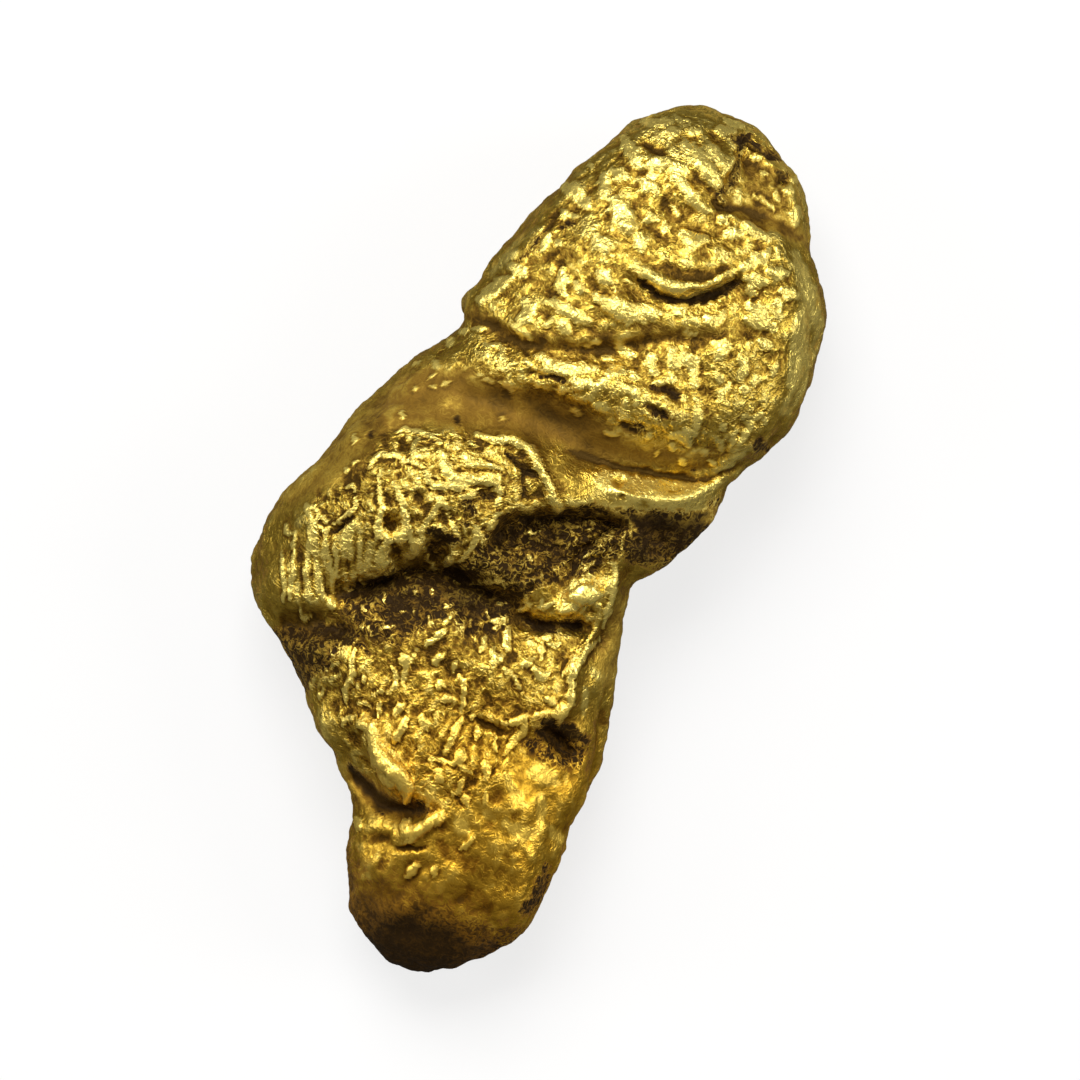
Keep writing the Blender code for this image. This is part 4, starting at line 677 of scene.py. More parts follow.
def area(xy, outline, edge=AREA_EDGE):
    """1 inside a closed outline and 0 outside: a smooth step of the signed distance to it."""
    corners = np.asarray(outline, float)
    x, y = xy[..., 0], xy[..., 1]
    inside = np.zeros(x.shape, bool)
    for (x0, y0), (x1, y1) in zip(corners, np.roll(corners, -1, 0)):
        if y0 != y1:
            inside ^= ((y0 > y) != (y1 > y)) & (x < x0 + (x1 - x0) * (y - y0) / (y1 - y0))
    distance = to_line(xy, outline, closed=True)[0]
    return smooth_step(-edge, edge, np.where(inside, distance, -distance))


def lattice_hash(cell, seed):
    """A 32-bit number for each lattice point (i, j, k): its weighted sum, folded and multiplied."""
    key = cell @ HASH_WEIGHTS + seed * HASH_SEED & WORD
    key = ((key ^ (key >> 13)) * HASH_FOLD) & WORD
    return key ^ (key >> 16)


def in_unit(key):
    """Three numbers of -1 to 1 from the key's three lowest groups of ten bits."""
    return np.stack([((key >> shift) & 1023) / 511.5 - 1 for shift in (0, 10, 20)], -1)


def swelling(p, size, seed):
    """Gradient noise of about -1 to 1: lattice slopes times the offset, eased between the 8 corners."""
    cell = np.floor(p / size).astype(np.int64)
    inside = p / size - cell
    ease = inside**3 * (inside * (inside * 6 - 15) + 10)
    total = np.zeros(p.shape[:-1])
    for corner in np.ndindex(2, 2, 2):
        slope = in_unit(lattice_hash(cell + corner, seed))
        weight = np.abs(1 - np.array(corner) - ease).prod(-1)
        total += weight * ((inside - corner) * slope).sum(-1)
    return NOISE_GAIN * total


def layered(p, noises):
    """The sum of gradient noises of (weight, size, seed)."""
    return sum(weight * swelling(p, size, seed) for weight, size, seed in noises)


def warped(p, rounds):
    """The points moved by three noises in each round of (amount, size, seed), so patterns run crooked."""
    for amount, size, seed in rounds:
        p = p + amount * np.stack([swelling(p, size, seed + i) for i in range(3)], -1)
    return p


def cells(p, size, seed):
    """Distances, in cells, to the nearest and to the second nearest of one scattered point per cell."""
    cell = np.floor(p / size).astype(np.int64)
    inside = p / size - cell
    first, second = np.full((2, *p.shape[:-1]), np.inf)
    for step in np.ndindex(3, 3, 3):
        offset = np.array(step) - 1
        point = offset + 0.5 + SCATTER * in_unit(lattice_hash(cell + offset, seed))
        distance = np.linalg.norm(inside - point, axis=-1)
        second = np.minimum(second, np.maximum(first, distance))
        first = np.minimum(first, distance)
    return first, second


def pebbles(p, size, seed):
    """Rounded lumps with creases between: 1 less the fall times the nearest point's distance squared."""
    return 1 - PEBBLE_FALL * cells(p, size, seed)[0]**2


def web(p, size, seed, width):
    """Thin walls round cells: the bell of the second distance less the first, over the width."""
    first, second = cells(p, size, seed)
    return bell((second - first) / width)


def crests(p, size, seed):
    """Sharp crooked crests, 0 to 1: (1 - |noise|)^2, where the noise is held to -1 to 1."""
    return (1 - np.minimum(np.abs(swelling(p, size, seed)) * CREST_GAIN, 1))**2


def wrinkles(p, size, seed):
    """Crests with finer ones on them, 0 to 1: coarse times (1 + share times finer), over (1 + share)."""
    coarse, finer = crests(p, size, seed), crests(p, size * FINER_SIZE, seed + 1)
    return coarse * (1 + FINER_SHARE * finer) / (1 + FINER_SHARE)


# ---------------------------------------------------------------- the skin's form

FINE_COUNT = 4001           # of the samples behind the grid's spacing
LINE_START = 0.25           # the height of a ridge at its ends, as a share of its middle's
STROKE_EDGE = (1.3, 0.5)    # where a stroke fades out and where it is full, in half widths
STROKE_TAPER, STROKE_FADE = 0.4, 0.3    # how much narrower its ends are, and over what share of it
RELIEF_SLOPES = (0.05, 0.5)     # of the normal's z, over which the upper face's relief sets in
PIT_LIP = (0.35, 1.25, 0.30)    # a lip's height and place, and its half width, in depths and radii
HOLE_LIP = (0.30, 1.25, 0.35)


def even_rows(count):
    """Values of t whose rows lie evenly along the surface, by the mean run of the four outlines."""
    t = np.linspace(0, 1, FINE_COUNT)
    y = HALF_LENGTH * np.cos(math.pi * t)
    outlines = (LEFT_EDGE, RIGHT_EDGE, CROWN, KEEL)
    run = sum(np.hypot(np.diff(y), np.diff(along(outline, t))) for outline in outlines)
    length = np.concatenate([[0], np.cumsum(run)])
    return np.interp(np.linspace(0, length[-1], count), length, t)


def column_angles(count):
    """Angles round the section, denser over the crown: their density goes with 1 + share times sin(a)."""
    a = np.linspace(0, 2 * math.pi, FINE_COUNT)
    reached = a + CROWN_SHARE * (1 - np.cos(a))
    return np.interp(np.arange(count) * 2 * math.pi / count, reached, a)


def lump(t, a):
    """The plain lump: a superellipse from rim to rim over the crown, and another under the keel.

    x = middle + half width times cos(a)^f + crest shift times sin(a)^2 on the upper half
    z = rim + (crown or keel - rim) times |sin a|^f, where the rim turns from left to right with cos(a)
    """
    left, right = along(LEFT_EDGE, t), along(RIGHT_EDGE, t)
    c, s = np.cos(a), np.sin(a)
    over = s >= 0
    fullness = np.where(over, FULLNESS_OVER, FULLNESS_UNDER)
    x = (left + right) / 2 + (right - left) / 2 * signed_power(c, fullness)
    x = x + np.where(over, along(CREST_SHIFT, t) * s**2, 0)
    rim = along(LEFT_RIM, t) * (1 - c) / 2 + along(RIGHT_RIM, t) * (1 + c) / 2
    far = np.where(over, along(CROWN, t), along(KEEL, t))
    z = rim + (far - rim) * np.abs(s) ** fullness
    y = HALF_LENGTH * np.cos(math.pi * t) + 0 * a
    return np.stack([x, y, z], -1)


def grid_normals(p):
    """Outward unit normals: the cross product of the step round the section and the step along it."""
    n = np.cross(np.roll(p, -1, 1) - np.roll(p, 1, 1), np.gradient(p, axis=0))
    n[0], n[-1] = (0, 1, 0), (0, -1, 0)
    return n / np.maximum(np.linalg.norm(n, axis=-1, keepdims=True), 1e-12)


def lines_height(xy, lines):
    """Sum of rolls: height times the bell of distance over half width, lower at each line's ends."""
    height = np.zeros(xy.shape[:-1])
    for rise, width, knots in lines:
        distance, _, run = to_line(xy, knots)
        height += rise * bell(distance / width) * (LINE_START + (1 - LINE_START) * fade_ends(run))
    return height


def pits_height(xy, pits, lip):
    """Sum of pits: depth times (the lip's bell less exp(-r^4)), where r is distance over radius."""
    height = np.zeros(xy.shape[:-1])
    lip_height, lip_place, lip_width = lip
    for depth, x, y, radius in pits:
        reach = np.hypot(xy[..., 0] - x, xy[..., 1] - y) / radius
        height += depth * (lip_height * bell((reach - lip_place) / lip_width) - np.exp(-reach**4))
    return height


def stroke(xy, width, knots, fray=1.0):
    """1 on a line and 0 beside it: a smooth step of distance times fray over the tapered half width."""
    knots = np.asarray(knots, float)
    margin = 2 * STROKE_EDGE[0] * width
    near = ((xy > knots.min(0) - margin) & (xy < knots.max(0) + margin)).all(-1)
    distance, _, run = to_line(xy[near], knots)
    reach = distance / (width * (1 - STROKE_TAPER + STROKE_TAPER * fade_ends(run, STROKE_FADE)))
    value = np.zeros(xy.shape[:-1])
    value[near] = smooth_step(*STROKE_EDGE, reach * np.broadcast_to(fray, value.shape)[near])
    return value


def covered(xy, strokes):
    """How fully strokes of (strength, half width, points) cover each point, 0 to 1."""
    return 1 - np.prod([1 - strength * stroke(xy, width, knots) for strength, width, knots in strokes], 0)


def relief(xy):
    """Height of the upper face's large forms.

    A ridge is a bell across its line; a ledge is a smooth step down across its line, times an
    exponential climb back; a mound is an elliptical bell; pits have a lip.
    """
    height = lines_height(xy, RIDGES) + pits_height(xy, PITS, PIT_LIP)
    for drop, reach, knots in LEDGES:
        distance, side, run = to_line(xy, knots)
        past = distance * side
        fall = smooth_step(-LEDGE_EDGE, LEDGE_EDGE, past) * np.exp(-np.maximum(past, 0) / reach)
        height -= drop * fall * fade_ends(run)
    for rise, x, y, long_radius, short_radius, lean in MOUNDS:
        c, s = math.cos(math.radians(lean)), math.sin(math.radians(lean))
        dx, dy = xy[..., 0] - x, xy[..., 1] - y
        lengthwise, crosswise = (dx * c + dy * s) / long_radius, (dy * c - dx * s) / short_radius
        height += rise * bell(lengthwise) * bell(crosswise)
    return height


def coarse_skin(t, a):
    """The lump with its relief, then seams, dents and swellings along the normal."""
    p = lump(t, a)
    facing_up = smooth_step(*RELIEF_SLOPES, grid_normals(p)[..., 2])
    p[..., 2] += relief(p[..., :2]) * facing_up
    out = layered(p, SWELLINGS)
    for depth, width, knots in SEAMS:
        distance, _, run = to_line(p, knots)
        out -= depth * bell(distance / width) * fade_ends(run)
    for depth, x, y, z, radius in DENTS:
        out -= depth * bell(np.linalg.norm(p - (x, y, z), axis=-1) / radius)
    p = p + grid_normals(p) * out[..., None]
    p[0], p[-1] = p[0].mean(0), p[-1].mean(0)
    return p


def skin_zones(p, up, stain_and_shade):
    """How far each point belongs to each area of the skin, 0 to 1; up is how far it faces upwards."""
    zone = {name: area(p[..., :2], outline) * up for name, outline in AREAS.items()}
    zone.update({name: smooth_step(*span, p[..., 1]) for name, span in SPANS.items()})
    zone["net"] = zone["bulge"] * (1 - zone["striated"])
    zone["lower"] = zone["lower"] * (1 - zone["lobe"])
    zone["tapered"] = zone["tapered"] * zone["lower"]
    zone["stained"] = zone["stained"] * stain_and_shade
    zone["warm"] = zone["warm"] * smooth_step(*WARM_ACROSS, p[..., 0])
    zone["side"] = 1 - up
    zone["everywhere"] = np.ones(up.shape)
    return zone


def skin_patterns(p):
    """The patterns of the fine skin, each about -1 to 1 or 0 to 1, and a plain one of 1."""
    crooked = warped(p, CROOKED_WARPS)
    patchy = smooth_step(-0.5, 0.5, swelling(p, *PATCHES))
    clumps, folds = pebbles(crooked, *CLUMPS), wrinkles(crooked * FOLD_STRETCH, *FOLDS)
    return {
        "plain": 1.0,
        "clumps": clumps,
        "clump tops": np.maximum(clumps, CLUMP_FLOOR),
        "patchy clumps": patchy * clumps,
        "beads": pebbles(warped(p, BEAD_WARPS), *BEADS),
        "walls": web(crooked, *WALLS) * (WALLS_LEAST + (1 - WALLS_LEAST) * patchy),
        "folds": folds,
        "patchy folds": patchy * folds,
        "creases": wrinkles(warped(p, CREASE_WARPS), *CREASES),
        "crumbs": layered(p, CRUMBS),
        "shallow": layered(p, SHALLOWS),
        "striae": swelling(p @ STRIAE_AXES, *STRIAE),
    }


def laid_over(zone, patterns, mixes):
    """The sum, over the areas, of a point's share in the area times the area's weighted patterns."""
    total = 0
    for name, mix in mixes.items():
        total = total + zone[name] * sum(weight * patterns[key] for key, weight in mix.items())
    return total


def drawn_marks(p):
    """The listed strokes: their height, their wear and painted highlight, nearness to a foot, and what they
    add to the tone.
    """
    xy = warped(p, STROKE_WARPS)[..., :2]
    fray = 1 + layered(p, [FRAY])
    height, tops, worn_and_highlit, near = np.zeros((4, *p.shape[:-1]))
    for strokes, stands, spread, wear_and_highlight, foot_shade in STANDING:
        tallest = np.zeros(height.shape)
        for width, knots in strokes:
            line = stroke(xy, width * spread, knots, fray)
            tallest = np.maximum(tallest, stands * width * line)
            tops = np.maximum(tops, line)
            worn_and_highlit = np.maximum(worn_and_highlit, wear_and_highlight * line)
            near = np.maximum(near, foot_shade * stroke(xy, width * spread + FOOT_SHADE_REACH, knots))
        height += tallest
    shade, cracks = covered(xy, SHADES), lines_height(xy, CRACKS)
    height += pits_height(xy, HOLES, HOLE_LIP) - cracks - SHADE_DEPTH * shade
    # the strokes' tone: the sheens painted lighter, and the dull patches, cracks and low holes painted
    # darker as shade
    tone = covered(xy, RUBS_AND_SHEENS) - SHADE_TONE * shade - CRACK_TONE * cracks + np.minimum(height, 0)
    return height, worn_and_highlit, near * (1 - tops), tone


def fine_skin(p, up, shown, zone, film):
    """How far the fine skin stands out along the normal, how light each point is painted, and how worn and
    highlit.

    height = drawn strokes where shown + upper patterns, weaker under film + side patterns
    the tone = each area's tone + the strokes' tone, brighter where worn, partly a painted highlight, and
    darker as painted shade at their foot
    """
    patterns = skin_patterns(p)
    drawn, worn_and_highlit, foot, marks = drawn_marks(p)
    worn_and_highlit = worn_and_highlit * (1 - FILM_ON_WORN * film)
    height = drawn * shown + laid_over(zone, patterns, SIDE_HEIGHTS)
    height += laid_over(zone, patterns, UPPER_HEIGHTS) * (1 - FILM_SMOOTHS * film) * up
    # a worn crest is painted brighter, partly as a highlight, and a stroke's foot darker as shade
    marks += WORN_HIGHLIGHT_TONE * worn_and_highlit - (FOOT_SHADE_TONE + NET_FOOT_SHADE_TONE * (zone["net"] + zone["lobe"])) * foot
    clean_and_lit = laid_over(zone, patterns, TONES) + marks * shown
    return height, np.clip(clean_and_lit, 0, LIGHTEST_TONE), worn_and_highlit * shown


def smoothed(values, rounds):
    """The mean of each point and its four neighbours on the grid, taken again and again."""
    for _ in range(rounds):
        rows = np.concatenate([values[:1], values, values[-1:]])
        values = (rows[:-2] + rows[2:] + np.roll(values, 1, 1) + np.roll(values, -1, 1) + values) / 5
    return values


def cavities(p, normals):
    """How deep each point lies below its surroundings: a weighted sum over rounds of smoothing."""
    low, around, before = 0, p, 0
    for rounds, weight in CAVITY_SIZES:
        around = smoothed(around, rounds - before)
        low = low + weight * ((around - p) * normals).sum(-1)
        before = rounds
    return low


# ---------------------------------------------------------------- the skin's patina and painted shade

# How much the flanks are painted darker, as shade and grime, and the tapered end, as stain and painted
# shade
FLANK_SHADE_AND_STAIN = 0.15
TIP_STAIN_AND_SHADE = 0.30
TIP_SPAN = (-6.6, -8.8)     # y over which the tapered end's stain and painted shade set in
TIP_WRAP = (-7.8, -8.7)     # y over which the stains and painted shade come to wrap round the tip
UP_SLOPES = (0.15, 0.6)     # of the normal's z, over which the upper face's patterns set in
ABOVE_SLOPES = (-0.5, 0.0)  # and its stains and films
SHOWN_SLOPES = (0.0, 0.3)   # and its strokes


def let_through(xy, areas, above):
    """The product, over areas of (strength, edge, outline), of 1 - strength inside the area."""
    clear = np.ones(xy.shape[:-1])
    for strength, edge, outline in areas:
        clear *= 1 - strength * area(xy, outline, edge) * above
    return clear


def stain_and_shade_depth(p, up, above):
    """How dark the patina and painted shade are, 0 to 1: one less the product of what each stain lets
    through.
    """
    xy = warped(p, STAIN_WARPS)[..., :2]
    clear = let_through(xy, STAIN_AND_SHADE_AREAS, above) * (1 - covered(xy, STAINS_AND_SHADOWS) * above)
    clear *= 1 - FLANK_SHADE_AND_STAIN * (1 - up)
    return 1 - clear * (1 - TIP_STAIN_AND_SHADE * smooth_step(*TIP_SPAN, p[..., 1]))


def film_depth(p, above):
    """How fully the smooth brown film covers each point, 0 to 1, by the same product."""
    return 1 - let_through(warped(p, FILM_WARPS)[..., :2], FILMS, above)


def closed_mesh(name, p, values):
    """A mesh of a grid that closes round its second axis, its end rows drawn to one point each."""
    rows, columns = p.shape[:2]
    points = np.concatenate([p[:1, 0], p[1:-1].reshape(-1, 3), p[-1:, 0]]) * MM
    ring = 1 + np.arange((rows - 2) * columns).reshape(rows - 2, columns)
    after = np.roll(ring, -1, 1)
    sides = np.stack([ring[:-1], after[:-1], after[1:], ring[1:]], -1).reshape(-1, 4)
    first = np.stack([np.zeros(columns, int), after[0], ring[0]], -1)
    last = np.stack([np.full(columns, len(points) - 1), ring[-1], after[-1]], -1)
    mesh = bpy.data.meshes.new(name)
    mesh.from_pydata(points.tolist(), [], sides.tolist() + first.tolist() + last.tolist())
    for key, grid in values.items():
        flat = np.concatenate([grid[:1, 0], grid[1:-1].ravel(), grid[-1:, 0]]).astype(np.float32)
        mesh.attributes.new(key, "FLOAT", "POINT").data.foreach_set("value", flat)
    mesh.shade_smooth()
    return mesh


def add_object(name, data):
    """A new object of the given data, in the scene."""
    item = bpy.data.objects.new(name, data)
    bpy.context.scene.collection.objects.link(item)
    return item


def make_nugget():
    """The skin: the coarse form, moved so that its box is centred, with the fine skin on it."""
    coarse = coarse_skin(even_rows(ROWS)[:, None], column_angles(COLUMNS)[None, :])
    normals = grid_normals(coarse)
    slope = normals[..., 2]
    up, shown = smooth_step(*UP_SLOPES, slope), smooth_step(*SHOWN_SLOPES, slope)
    above = np.maximum(smooth_step(*ABOVE_SLOPES, slope), smooth_step(*TIP_WRAP, coarse[..., 1]))
    stain_and_shade, film = stain_and_shade_depth(coarse, up, above), film_depth(coarse, above)
    zone = skin_zones(coarse, up, stain_and_shade)
    height, clean_and_lit, worn_and_highlit = fine_skin(coarse, up, shown, zone, film)
    p = coarse + normals * height[..., None]
    p[0], p[-1] = p[0].mean(0), p[-1].mean(0)
    dip = cavities(p, grid_normals(p))
    low, high = coarse.min((0, 1)), coarse.max((0, 1))
    p -= ((low[0] + high[0]) / 2, (low[1] + high[1]) / 2, 0)
    p[..., 2] = np.maximum(p[..., 2], 0)
    stain_and_shade = stain_and_shade * (1 - WORN_CLEANS * worn_and_highlit)
    crisp, lumpy = (sum(share * zone[name] for name, share in mix.items()) for mix in (CRISP, LUMPY))
    crisp = crisp * (1 - FILM_SMOOTHS * film) * (1 - WORN_SMOOTHS * worn_and_highlit)
    crisp = crisp * (1 - WARM_SMOOTHS * zone["warm"] * (1 - zone["lobe"]))
    # what the mesh carries: the dip, which the material paints darker as shade; the stain with its painted
    # shade; and the tone with its painted highlight and shade
    values = {"dip": dip, "stain_and_shade": stain_and_shade, "film": film, "warm": zone["warm"], "clean_and_lit": clean_and_lit,
              "crisp": crisp, "lumpy": lumpy}
    mesh = closed_mesh("nugget_skin", p, values)
    mesh.materials.append(gold_material(values))
    return add_object("nugget_skin", mesh)


# ---------------------------------------------------------------- materials

BRIGHT = (0.94, 0.74, 0.18, 1.0)        # rubbed high spots and painted highlights
GOLD = (0.62, 0.415, 0.058, 1.0)        # the plain metal
OLIVE = (0.33, 0.208, 0.027, 1.0)       # dull metal and painted shade low between the crests
BROWN = (0.19, 0.100, 0.012, 1.0)       # patina and painted shade in the dips
WARMTH = (1.0, 0.84, 0.50, 1.0)         # what turns the plain metal redder towards the tapered end
EDGE_TINT = (0.90, 0.74, 0.45, 1.0)     # of the metal's reflection at a glancing angle
DARK = (0.075, 0.040, 0.007, 1.0)       # dirt and painted shade in the deepest dips
STAIN_AND_SHADOW = (0.021, 0.010, 0.0025, 1.0)     # iron stain and painted shadow in the cleft and the pits
METAL_COLOURS = [(0.06, DARK), (0.24, BROWN), (0.40, OLIVE), (0.58, GOLD), (0.92, BRIGHT)]      # by tone
FILM_COLOURS = [(0.1, DARK), (0.40, BROWN), (0.9, OLIVE)]

# Noises: kind, size in metres, detail, roughness, and what else the node takes
RIDGED = {"Offset": 1.0, "Gain": 1.5}
NOISES = {
    "foil": ("RIDGED_MULTIFRACTAL", 0.00034, 3.4, 0.68, {**RIDGED, "Distortion": 0.6}),
    "crumb": ("HYBRID_MULTIFRACTAL", 0.00020, 2.6, 0.6, {"Offset": 0.7, "Gain": 1.0}),
    "scribble": ("RIDGED_MULTIFRACTAL", 0.00013, 2.4, 0.62, {**RIDGED, "Distortion": 0.9}),
    "grain": ("FBM", 0.00009, 2.4, 0.6, {}),
    "patches": ("FBM", 0.0009, 3.0, 0.55, {}),
}
NOISE_SPANS = {"foil": (0.5, 2.3), "crumb": (0.3, 1.9), "scribble": (0.5, 2.2)}     # brought to 0 to 1
NOISE_MIDDLE = 0.5
# Sums of value times weight
MICRO = {"scribble": 0.6, "grain": 0.4, "plain": -0.47}
# the dip paints shade into the hollows, and the folded and crumbed bump is painted lighter on its raised
# parts and darker in its low ones
TONE = {"clean_and_lit": 1.0, "dip": -1.0, "folded": 0.9, "crumbed": 0.6, "micro": 1.0, "patches": 0.3,
        "plain": -0.15}
STAIN_EDGE = {"foil": 0.15, "crumb": 0.25, "scribble": 0.6, "patches": 0.15, "grain": 0.3}
ROUGHNESS = {"gloss": 1.0, "dull": 0.30, "warm": 0.07}
METALLIC = {"plain": 1.0, "film_and_shade": -0.6, "dull": -0.15, "rubbed": -0.10}
# Ramps: the two values between which they run, and what they give there if it isn't 0 and 1
MICRO_BY_CRISP = (0.0, 0.5, 0.2, 0.9)
SCRIBBLE_BY_CRISP = (0.0, 0.4, 0.10, 0.30)
UNSURE_BY_FILM = (0.0, 0.8, 1.0, 0.0)
BREAK_BY_EDGE = (0.45, 0.88, 1.9, -1.9)
BROWN_BY_TONE = (0.45, 0.80, 1.0, 0.3)
BROWN_BY_STAIN_AND_SHADE = (0.05, 0.35)
BLACK_BY_STAIN_AND_SHADE = (0.35, 0.95, 0.0, 0.98)
DULL_BY_TONE = (0.6, 0.1)
RUBBED_BY_TONE = (0.75, 1.05)
GLOSS_BY_GRAIN = (0.3, 0.7, 0.25, 0.34)
FULL_STAIN_AND_SHADE = 1.10           # where the stain and its painted shade would no longer break up at all
METAL_SPECULAR = 0.15
BUMP_HEIGHT = 0.06 * MM


class Tree:
    """A material's node tree, with short ways to add the nodes that this file uses."""

    def __init__(self, material):
        material.use_nodes = True
        self.nodes, self.links = material.node_tree.nodes, material.node_tree.links
        self.shader = self.nodes["Principled BSDF"]
        self.place = self.nodes.new("ShaderNodeTexCoord").outputs["Object"]

    def put(self, value, socket):
        """Links a node's output to the socket, or sets the socket to a plain value."""
        if isinstance(value, bpy.types.NodeSocket):
            self.links.new(value, socket)
        else:
            socket.default_value = value

    def shade(self, values):
        """Puts values into the shader's inputs."""
        for name, value in values.items():
            self.put(value, self.shader.inputs[name])

    def attribute(self, name):
        """A value that the mesh carries at each point."""
        node = self.nodes.new("ShaderNodeAttribute")
        node.attribute_name = name
        return node.outputs["Fac"]

    def noise(self, kind, size, detail, roughness, more):
        """Noise on the object's own coordinates whose features are size metres across."""
        node = self.nodes.new("ShaderNodeTexNoise")
        node.noise_type = kind
        values = {"Vector": self.place, "Scale": 1 / size, "Detail": detail, "Roughness": roughness}
        for name, value in {**values, **more}.items():
            self.put(value, node.inputs[name])
        return node.outputs["Fac"]

    def ramp(self, value, low, high, start=0.0, end=1.0):
        """The value brought from low..high to start..end, and held there."""
        node = self.nodes.new("ShaderNodeMapRange")
        for socket, number in zip(node.inputs, (value, low, high, start, end)):
            self.put(number, socket)
        return node.outputs["Result"]

    def math(self, operation, first, second, clamp=False):
        """A sum, difference, product or the like of two values."""
        node = self.nodes.new("ShaderNodeMath")
        node.operation = operation
        node.use_clamp = clamp
        self.put(first, node.inputs[0])
        self.put(second, node.inputs[1])
        return node.outputs[0]

    def sum(self, values, weights):
        """The sum of the named values times their weights."""
        total = 0.0
        for name, weight in weights.items():
            node = self.nodes.new("ShaderNodeMath")
            node.operation = "MULTIPLY_ADD"
            for socket, number in zip(node.inputs, (values[name], weight, total)):
                self.put(number, socket)
            total = node.outputs[0]
        return total

    def colours(self, value, stops):
        """A colour ramp through (value, colour)."""
        node = self.nodes.new("ShaderNodeValToRGB")
        self.put(value, node.inputs["Fac"])
        while len(node.color_ramp.elements) < len(stops):
            node.color_ramp.elements.new(0.5)
        for element, (place, colour) in zip(node.color_ramp.elements, stops):
            element.position, element.color = place, colour
        return node.outputs["Color"]

    def mix(self, factor, first, second, blend="MIX"):
        """Two colours mixed by the factor."""
        node = self.nodes.new("ShaderNodeMix")
        node.data_type, node.blend_type = "RGBA", blend
        self.put(factor, node.inputs["Factor"])
        self.put(first, node.inputs["A"])
        self.put(second, node.inputs["B"])
        return node.outputs["Result"]

    def bump(self, height, distance):
        """A normal bent by a height of 0 to 1, in which 1 stands the distance proud."""
        node = self.nodes.new("ShaderNodeBump")
        self.put(height, node.inputs["Height"])
        self.put(distance, node.inputs["Distance"])
        return node.outputs["Normal"]


def gold_material(attributes):
    """Bright where the skin's tone is high and it stands proud, dull and brown where it is low or stained,
    with painted highlight and shade.

    tone = the attribute's tone - dip + foil by crisp + crumb by lumpy + fine scribbles; the dip is painted
    shade stain and painted shade, broken up where it is neither full nor absent, first browns the metal and
    then blackens it
    """
    material = bpy.data.materials.new("native_gold")
    tree = Tree(material)
    v = {name: tree.attribute(name) for name in attributes}
    v.update({name: tree.noise(*values) for name, values in NOISES.items()})
    v.update({name: tree.ramp(v[name], *span) for name, span in NOISE_SPANS.items()})
    v["plain"] = 1.0

    for name, noise, share in (("folded", "foil", "crisp"), ("crumbed", "crumb", "lumpy")):
        v[name] = tree.math("MULTIPLY", tree.math("SUBTRACT", v[noise], NOISE_MIDDLE), v[share])
    v["micro"] = tree.math("MULTIPLY", tree.sum(v, MICRO), tree.ramp(v["crisp"], *MICRO_BY_CRISP))
    tone = tree.sum(v, TONE)

    unsure = tree.math("MULTIPLY", v["stain_and_shade"], tree.math("SUBTRACT", FULL_STAIN_AND_SHADE, v["stain_and_shade"]))
    unsure = tree.math("MULTIPLY", unsure, tree.ramp(v["film"], *UNSURE_BY_FILM))
    broken = tree.math("MULTIPLY", unsure, tree.ramp(tree.sum(v, STAIN_EDGE), *BREAK_BY_EDGE))
    broken = tree.math("ADD", v["stain_and_shade"], broken, clamp=True)
    browned = tree.math("MULTIPLY", v["film"], tree.ramp(tone, *BROWN_BY_TONE))
    v["film_and_shade"] = tree.math("MAXIMUM", browned, tree.ramp(broken, *BROWN_BY_STAIN_AND_SHADE))
    v["dull"] = tree.math("MAXIMUM", tree.ramp(tone, *DULL_BY_TONE), v["film_and_shade"])
    v["rubbed"] = tree.ramp(tone, *RUBBED_BY_TONE)
    v["gloss"] = tree.ramp(v["grain"], *GLOSS_BY_GRAIN)

    colour = tree.mix(v["film_and_shade"], tree.colours(tone, METAL_COLOURS), tree.colours(tone, FILM_COLOURS))
    colour = tree.mix(v["warm"], colour, tree.mix(1.0, colour, WARMTH, "MULTIPLY"))
    colour = tree.mix(tree.ramp(broken, *BLACK_BY_STAIN_AND_SHADE), colour, STAIN_AND_SHADOW)

    height = 0.0
    for noise, share in (("foil", v["crisp"]), ("crumb", v["lumpy"]),
                         ("scribble", tree.ramp(v["crisp"], *SCRIBBLE_BY_CRISP))):
        height = tree.math("ADD", height, tree.math("MULTIPLY", v[noise], share))

    tree.shade({
        "Base Color": colour,
        "Roughness": tree.sum(v, ROUGHNESS),
        "Metallic": tree.sum(v, METALLIC),
        "Specular IOR Level": METAL_SPECULAR,
        "Specular Tint": EDGE_TINT,
        "Normal": tree.bump(height, BUMP_HEIGHT),
    })
    return material


# ---------------------------------------------------------------- the studio

LEAN = math.radians(25)                         # the picture's upright, turned from the nugget's length
LOOK_AT = Vector((0.775, -0.187, 2.3)) * MM     # the picture's middle
CAMERA_HEIGHT = 220 * MM
VIEW_WIDTH = 21.6 * MM                          # what the picture spans at that height
SENSOR = 36.0
CLIP_START, CLIP_END = 0.01, 10.0
# Softboxes: name, direction in the picture's axes (right, up, towards the camera), width, height, power
LIGHT_DISTANCE = 300 * MM
LIGHTS = [
    ("key_softbox", (-0.12, 0.60, 0.85), 200, 170, 0.96),
    ("right_softbox", (0.95, 0.05, 0.5), 120, 200, 0.38),
    ("left_softbox", (-0.9, 0.1, 0.45), 100, 160, 0.24),
]
SKY_LIGHT, SKY_SEEN = 0.25, 0.82                # the sky's strength as a light, and to the camera
SKY_TINT, WHITE = (1.0, 0.93, 0.80, 1.0), (1.0, 1.0, 1.0, 1.0)
FLOOR_HALF = 1.0
FLOOR_GREY = (0.8, 0.8, 0.8, 1)                 # as it lights the nugget
FLOOR_MIRRORED = (0.10, 0.10, 0.10, 1)          # as it is reflected in the nugget
FLOOR_SEEN, FLOOR_GLOW = (0.2, 0.2, 0.2, 1), 0.74       # as the camera sees it
FLOOR_ROUGHNESS = 0.9


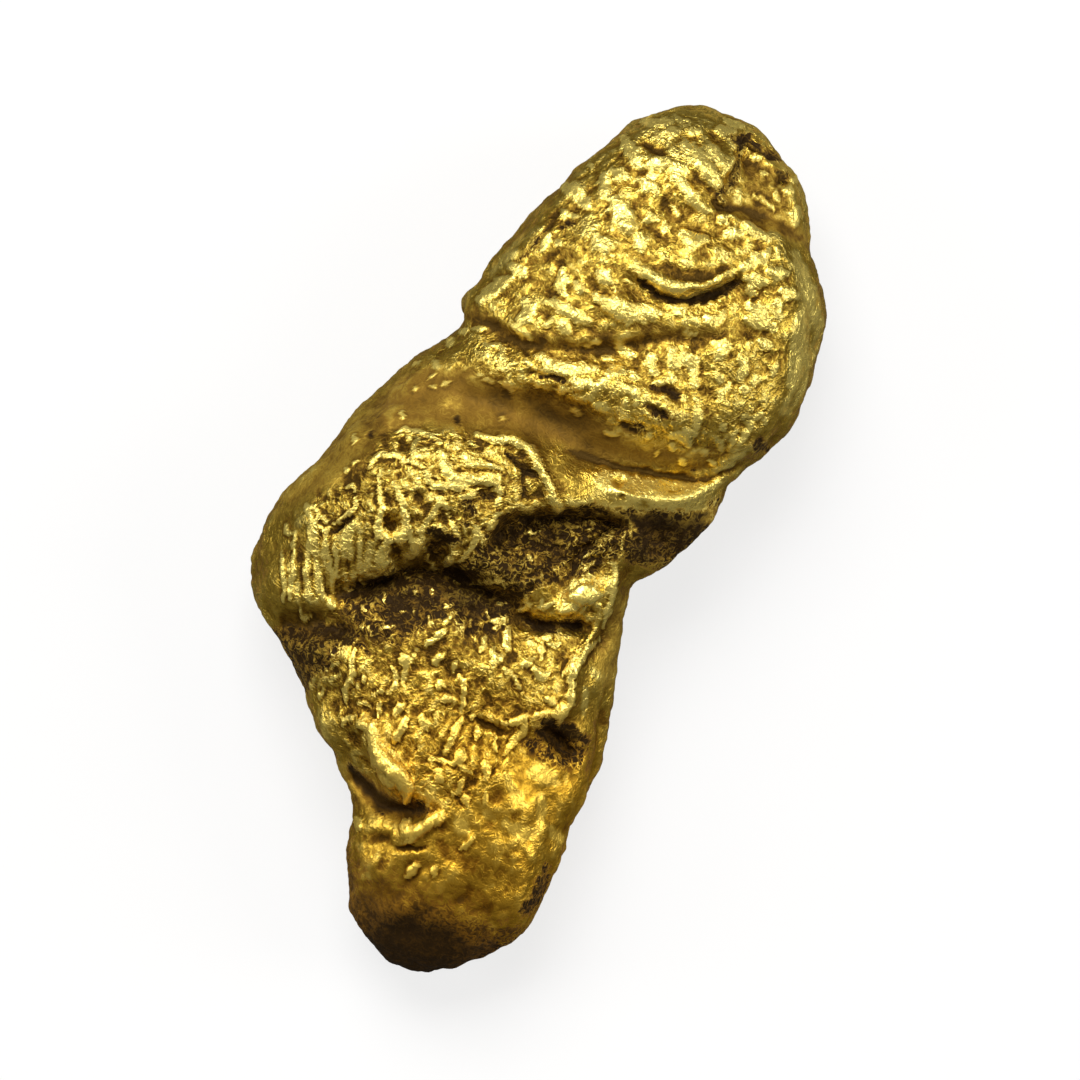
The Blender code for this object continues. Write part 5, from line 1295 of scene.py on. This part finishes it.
def make_camera():
    """The camera, straight above, turned with the picture's upright."""
    lens = bpy.data.cameras.new("camera")
    lens.sensor_width = SENSOR
    lens.lens = SENSOR * CAMERA_HEIGHT / VIEW_WIDTH
    lens.clip_start, lens.clip_end = CLIP_START, CLIP_END
    camera = add_object("camera", lens)
    camera.location = LOOK_AT + Vector((0, 0, CAMERA_HEIGHT))
    camera.rotation_euler = (0, 0, LEAN)
    bpy.context.scene.camera = camera


def make_lights():
    """The softboxes, all at one distance and facing the picture's middle."""
    for name, direction, width, height, power in LIGHTS:
        light = bpy.data.lights.new(name, "AREA")
        light.shape = "RECTANGLE"
        light.size, light.size_y = width * MM, height * MM
        light.energy = power
        box = add_object(name, light)
        way = Matrix.Rotation(LEAN, 3, "Z") @ Vector(direction).normalized()
        box.location = LOOK_AT + way * LIGHT_DISTANCE
        box.rotation_mode = "QUATERNION"
        box.rotation_quaternion = way.to_track_quat("Z", "Y")


def make_world():
    """A dim sky for light, a pale one behind what the camera sees past the floor."""
    world = bpy.data.worlds.new("studio")
    bpy.context.scene.world = world
    world.use_nodes = True
    nodes, links = world.node_tree.nodes, world.node_tree.links
    seen = nodes.new("ShaderNodeLightPath").outputs["Is Camera Ray"]
    level = nodes.new("ShaderNodeMapRange")
    level.inputs["To Min"].default_value = SKY_LIGHT
    level.inputs["To Max"].default_value = SKY_SEEN
    links.new(seen, level.inputs["Value"])
    links.new(level.outputs["Result"], nodes["Background"].inputs["Strength"])
    tint = nodes.new("ShaderNodeMix")
    tint.data_type = "RGBA"
    tint.inputs["A"].default_value = SKY_TINT
    tint.inputs["B"].default_value = WHITE
    links.new(seen, tint.inputs["Factor"])
    links.new(tint.outputs["Result"], nodes["Background"].inputs["Color"])


def make_floor():
    """One plain pale floor, which looks even to the camera and darker in the metal's reflections."""
    mesh = bpy.data.meshes.new("floor")
    corners = [(x * FLOOR_HALF, y * FLOOR_HALF, 0) for x, y in ((-1, -1), (1, -1), (1, 1), (-1, 1))]
    mesh.from_pydata(corners, [], [(0, 1, 2, 3)])
    floor = add_object("floor", mesh)
    material = bpy.data.materials.new("pale_floor")
    tree = Tree(material)
    path = tree.nodes.new("ShaderNodeLightPath").outputs
    grey = tree.mix(path["Is Glossy Ray"], FLOOR_GREY, FLOOR_MIRRORED)
    tree.shade({
        "Base Color": tree.mix(path["Is Camera Ray"], grey, FLOOR_SEEN),
        "Roughness": FLOOR_ROUGHNESS,
        "Emission Color": WHITE,
        "Emission Strength": tree.math("MULTIPLY", path["Is Camera Ray"], FLOOR_GLOW),
    })
    mesh.materials.append(material)


# ---------------------------------------------------------------- the scene

bpy.context.scene.view_settings.view_transform = "Standard"
nugget = make_nugget()
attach(nugget, "root")
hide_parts(NODE)
make_floor()
make_world()
make_lights()
make_camera()
